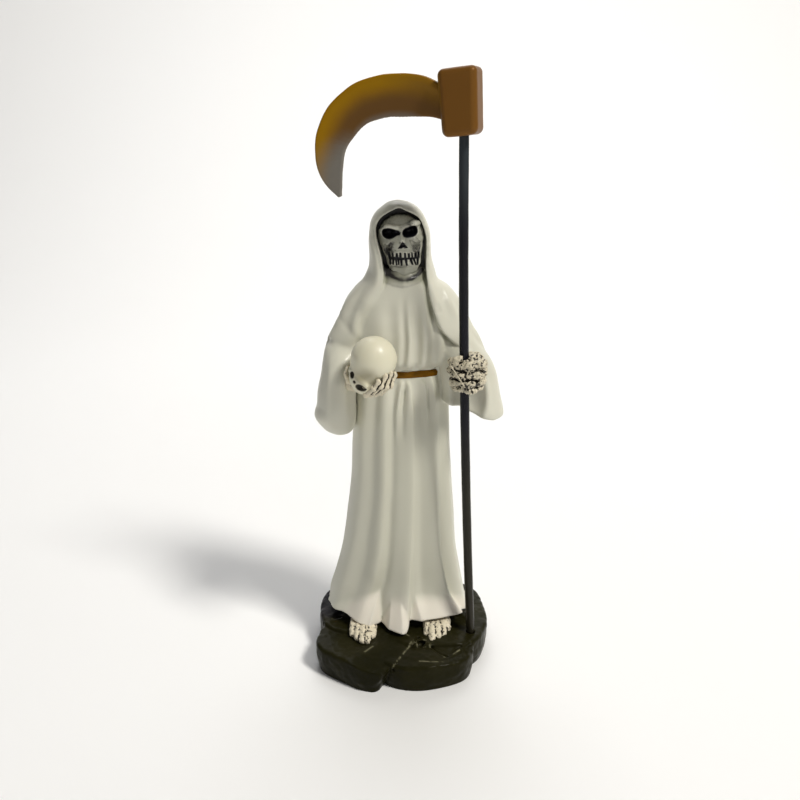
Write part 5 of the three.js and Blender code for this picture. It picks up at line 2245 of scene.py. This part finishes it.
def rock_paint() -> bpy.types.Material:
    """Glossy olive-black paint with painted pale glints and highlights along its edges.

    Returns:
        The material.
    """
    s = Shade("rock_paint", Finish(roughness=0.3, specular=0.06))
    colour = s.blend(s.steps(s.grain(0.02), 0.35, 0.7), Tone.ROCK, Tone.ROCK_WARM)
    colour = s.blend(s.mask("violet"), colour, Tone.ROCK_VIOLET)
    # painted highlights along the edges, and painted glints
    highlight_and_wear = s.math("MULTIPLY", s.steps(s.mask("edge"), 0.45, 0.9), s.steps(s.grain(0.003), 0.5, 0.65))
    highlight_and_wear = s.math("MAXIMUM", s.math("MULTIPLY", highlight_and_wear, 0.6), s.mask("glint"))
    s.paint(s.blend(highlight_and_wear, colour, Tone.ROCK_HIGHLIGHT))
    s.bump(s.grain(0.003), 0.3, 0.0006)
    return s.material


def belt_paint() -> bpy.types.Material:
    """Ochre gold paint, darker along its borders.

    Returns:
        The material.
    """
    s = Shade("belt_paint", Finish(roughness=0.45, specular=0.1))
    flecks = s.math("MULTIPLY", s.steps(s.grain(0.0012), 0.5, 0.7), 0.5)
    dark = s.math("ADD", s.steps(s.mask("cavity"), 0.2, 0.7), flecks)
    s.paint(s.blend(dark, Tone.BELT, Tone.BELT_EDGE))
    s.bump(s.grain(0.001), 0.3, 0.0002)
    return s.material


def staff_paint() -> bpy.types.Material:
    """Gloss black paint.

    Returns:
        The material.
    """
    s = Shade("staff_paint", Finish(roughness=0.2, specular=0.18))
    low = s.math("SUBTRACT", 1.0, s.steps(s.mask("rise"), 0.3, 0.5))
    colour = s.blend(low, Tone.STAFF, Tone.STAFF_WARM)
    s.paint(s.blend(s.steps(s.mask("rise"), 0.78, 0.92), colour, Tone.STAFF_SLATE))
    s.bump(s.grain(0.004), 0.1, 0.0003)
    return s.material


def blade_paint() -> bpy.types.Material:
    """Copper brown block with painted highlights on its edges, and a blade that fades from ochre over brown
    to silver.

    Returns:
        The material.
    """
    s = Shade("blade_paint", Finish(roughness=0.4, metallic=0.1, specular=0.1))
    across = s.math("ADD", s.mask("across"), s.math("MULTIPLY", s.grain(0.01), 0.12))
    colour = s.blend(s.steps(across, 0.2, 0.72), Tone.OCHRE, Tone.BROWN)
    near_block = s.math("SUBTRACT", 1.0, s.steps(s.mask("along"), 0.05, 0.35))
    colour = s.blend(s.math("MULTIPLY", near_block, 0.55), colour, Tone.BROWN)
    reach = s.math("ADD", s.mask("along"), s.math("MULTIPLY", s.mask("across"), 0.22))
    edge = s.math("MULTIPLY", s.steps(s.mask("across"), 0.8, 1.0), 0.6)
    tip = s.math("MAXIMUM", edge, s.steps(reach, 0.74, 0.98))
    colour = s.blend(tip, colour, Tone.SILVER)
    # painted highlights on the block's edges
    block = s.blend(s.steps(s.mask("edge"), 0.2, 0.7), Tone.COPPER, Tone.COPPER_HIGHLIGHT)
    s.paint(s.blend(s.mask("block"), colour, block))
    s.bump(s.grain(0.0014), 0.12, 0.0002)
    return s.material


# Studio


def pale_paint(name: str, level: float) -> bpy.types.Material:
    """Plain matt studio paint.

    Args:
        name: its name.
        level: its grey level.

    Returns:
        The material.
    """
    s = Shade(name, Finish(roughness=0.9))
    s.shader.inputs["Base Color"].default_value = (level, level, level, 1.0)
    return s.material


@dataclass(frozen=True)
class Lamp:
    """One soft square light.

    Attributes:
        name: its name.
        place: where it hangs, in metres.
        size: length of its side.
        power: strength in watts.
        colour: linear colour.
        aim: point that it faces.
    """

    name: str
    place: Point
    size: float
    power: float
    colour: Point
    aim: Point = (0.0, 0.0, 0.15)


@dataclass(frozen=True)
class Studio:
    """Floor, lights and camera, in metres.

    Attributes:
        camera_place: where the camera stands.
        camera_pitch: degrees that it looks down.
        lens: focal length in millimetres.
        sensor: width of its sensor in millimetres.
        near: nearest point that it sees.
        surroundings: strength of the even white light from all round.
        front: how far the floor reaches to the front.
        back: where its wall stands.
        bend: radius of the sweep between floor and wall.
        height: height of the wall.
        half_width: half width of floor and wall.
        level: grey level of their paint.
        lamps: the lights.
    """

    camera_place: Point = (-0.001, -0.438, 0.280)
    camera_pitch: float = 17.5
    lens: float = 40.5
    sensor: float = 36.0
    near: float = 0.02
    surroundings: float = 0.09
    front: float = 1.6
    back: float = 1.1
    bend: float = 0.5
    height: float = 1.4
    half_width: float = 2.2
    level: float = 0.9
    lamps: tuple[Lamp, ...] = (
        Lamp("key", (1.40, -1.15, 2.40), 0.55, 69.0, (1.0, 0.97, 0.91)),
        Lamp("fill", (-0.80, -0.45, 0.35), 0.9, 0.45, (0.93, 0.96, 1.0)),
        Lamp("front", (0.15, -1.0, 0.45), 0.9, 0.5, (1.0, 0.98, 0.95)),
        Lamp("back", (0.0, 0.7, 1.2), 0.8, 6.0, (1.0, 1.0, 1.0), aim=(0.0, 0.8, 0.0)),
    )

    def build(self) -> None:
        """Makes them all."""
        self.floor()
        self.world()
        for lamp in self.lamps:
            self.light(lamp)
        self.camera()
        bpy.context.scene.view_settings.view_transform = "Standard"

    def floor(self) -> None:
        """Pale floor that sweeps up behind the object."""
        start = self.back - self.bend
        profile = [(-self.front, 0.0), (start, 0.0)]
        parts = 12
        for k in range(1, parts + 1):
            a = math.pi / 2 * k / parts
            profile.append((start + self.bend * math.sin(a), self.bend - self.bend * math.cos(a)))
        profile.append((self.back, self.height))
        points = [(x, y, z) for y, z in profile for x in (-self.half_width, self.half_width)]
        faces = [(2 * k, 2 * k + 1, 2 * k + 3, 2 * k + 2) for k in range(len(profile) - 1)]
        mesh = bpy.data.meshes.new("floor")
        mesh.from_pydata(points, [], faces)
        mesh.polygons.foreach_set("use_smooth", [True] * len(faces))
        floor = linked("floor", mesh)
        floor.data.materials.append(pale_paint("studio_paint", self.level))

    def world(self) -> None:
        """Even white surroundings."""
        world = bpy.data.worlds.new("studio")
        world.use_nodes = True
        back = world.node_tree.nodes["Background"]
        back.inputs["Color"].default_value = (1.0, 1.0, 1.0, 1.0)
        back.inputs["Strength"].default_value = self.surroundings
        bpy.context.scene.world = world

    def light(self, lamp: Lamp) -> None:
        """Hangs a light.

        Args:
            lamp: the light.
        """
        data = bpy.data.lights.new(lamp.name, "AREA")
        data.size = lamp.size
        data.energy = lamp.power
        data.color = lamp.colour
        made = linked(lamp.name, data)
        made.location = lamp.place
        facing = Vector(lamp.aim) - Vector(lamp.place)
        made.rotation_euler = facing.to_track_quat("-Z", "Y").to_euler()

    def camera(self) -> None:
        """Camera at the photograph's viewing angle."""
        data = bpy.data.cameras.new("camera")
        data.lens = self.lens
        data.sensor_width = self.sensor
        data.clip_start = self.near
        camera = linked("camera", data)
        camera.location = self.camera_place
        camera.rotation_euler = (math.radians(90.0 - self.camera_pitch), 0.0, 0.0)
        bpy.context.scene.camera = camera


# Dark specks on the robe: place and radius in millimetres
SPECKS = (
    (7.4, -13.2, 144.9, 0.45),
    (2.2, -12.8, 139.8, 0.5),
    (6.4, -12.4, 55.6, 0.4),
    (14.9, -12.6, 188.4, 0.4),
    (14.4, -12.8, 190.6, 0.3),
    (22.2, -6.6, 112.6, 0.5),
    (22.2, -6.4, 110.6, 0.4),
)


def log_piece(piece: bpy.types.Object) -> None:
    """Logs a piece that is done."""
    log.info("%s: %d faces", piece.name, len(piece.data.polygons))


def main() -> None:
    """Carves, paints and places every piece."""
    logging.basicConfig(level=logging.INFO, format="%(name)s %(message)s")
    sculptor = Sculptor()
    robe = robe_paint(SPECKS)
    bone = bone_paint()
    carved = (
        (Skirt(), robe, "robe"),
        (UpperRobe(), robe, "robe"),
        (Belt(), belt_paint(), None),
        (Rock(), rock_paint(), None),
        (SkullFace(), face_paint(), None),
        (HeldSkull(), ball_paint(), None),
        (SkullHand(), bone, None),
        (Fist(), bone, None),
        (Feet(), bone, None),
    )
    for form, paint, slot in carved:
        piece = form.build(sculptor)
        form.dress(piece, paint)
        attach(piece, BODY)
        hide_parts("figure")
        log_piece(piece)
    scythe = ScytheHead()
    head = scythe.build(sculptor)
    scythe.dress(head, blade_paint())
    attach(head, BODY)
    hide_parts("scythe_head")
    log_piece(head)
    staff = STAFF.build()
    STAFF.dress(staff, staff_paint())
    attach(staff, BODY)
    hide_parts("scythe_staff")
    log_piece(staff)
    Studio().build()


if __name__ == "__main__":
    main()
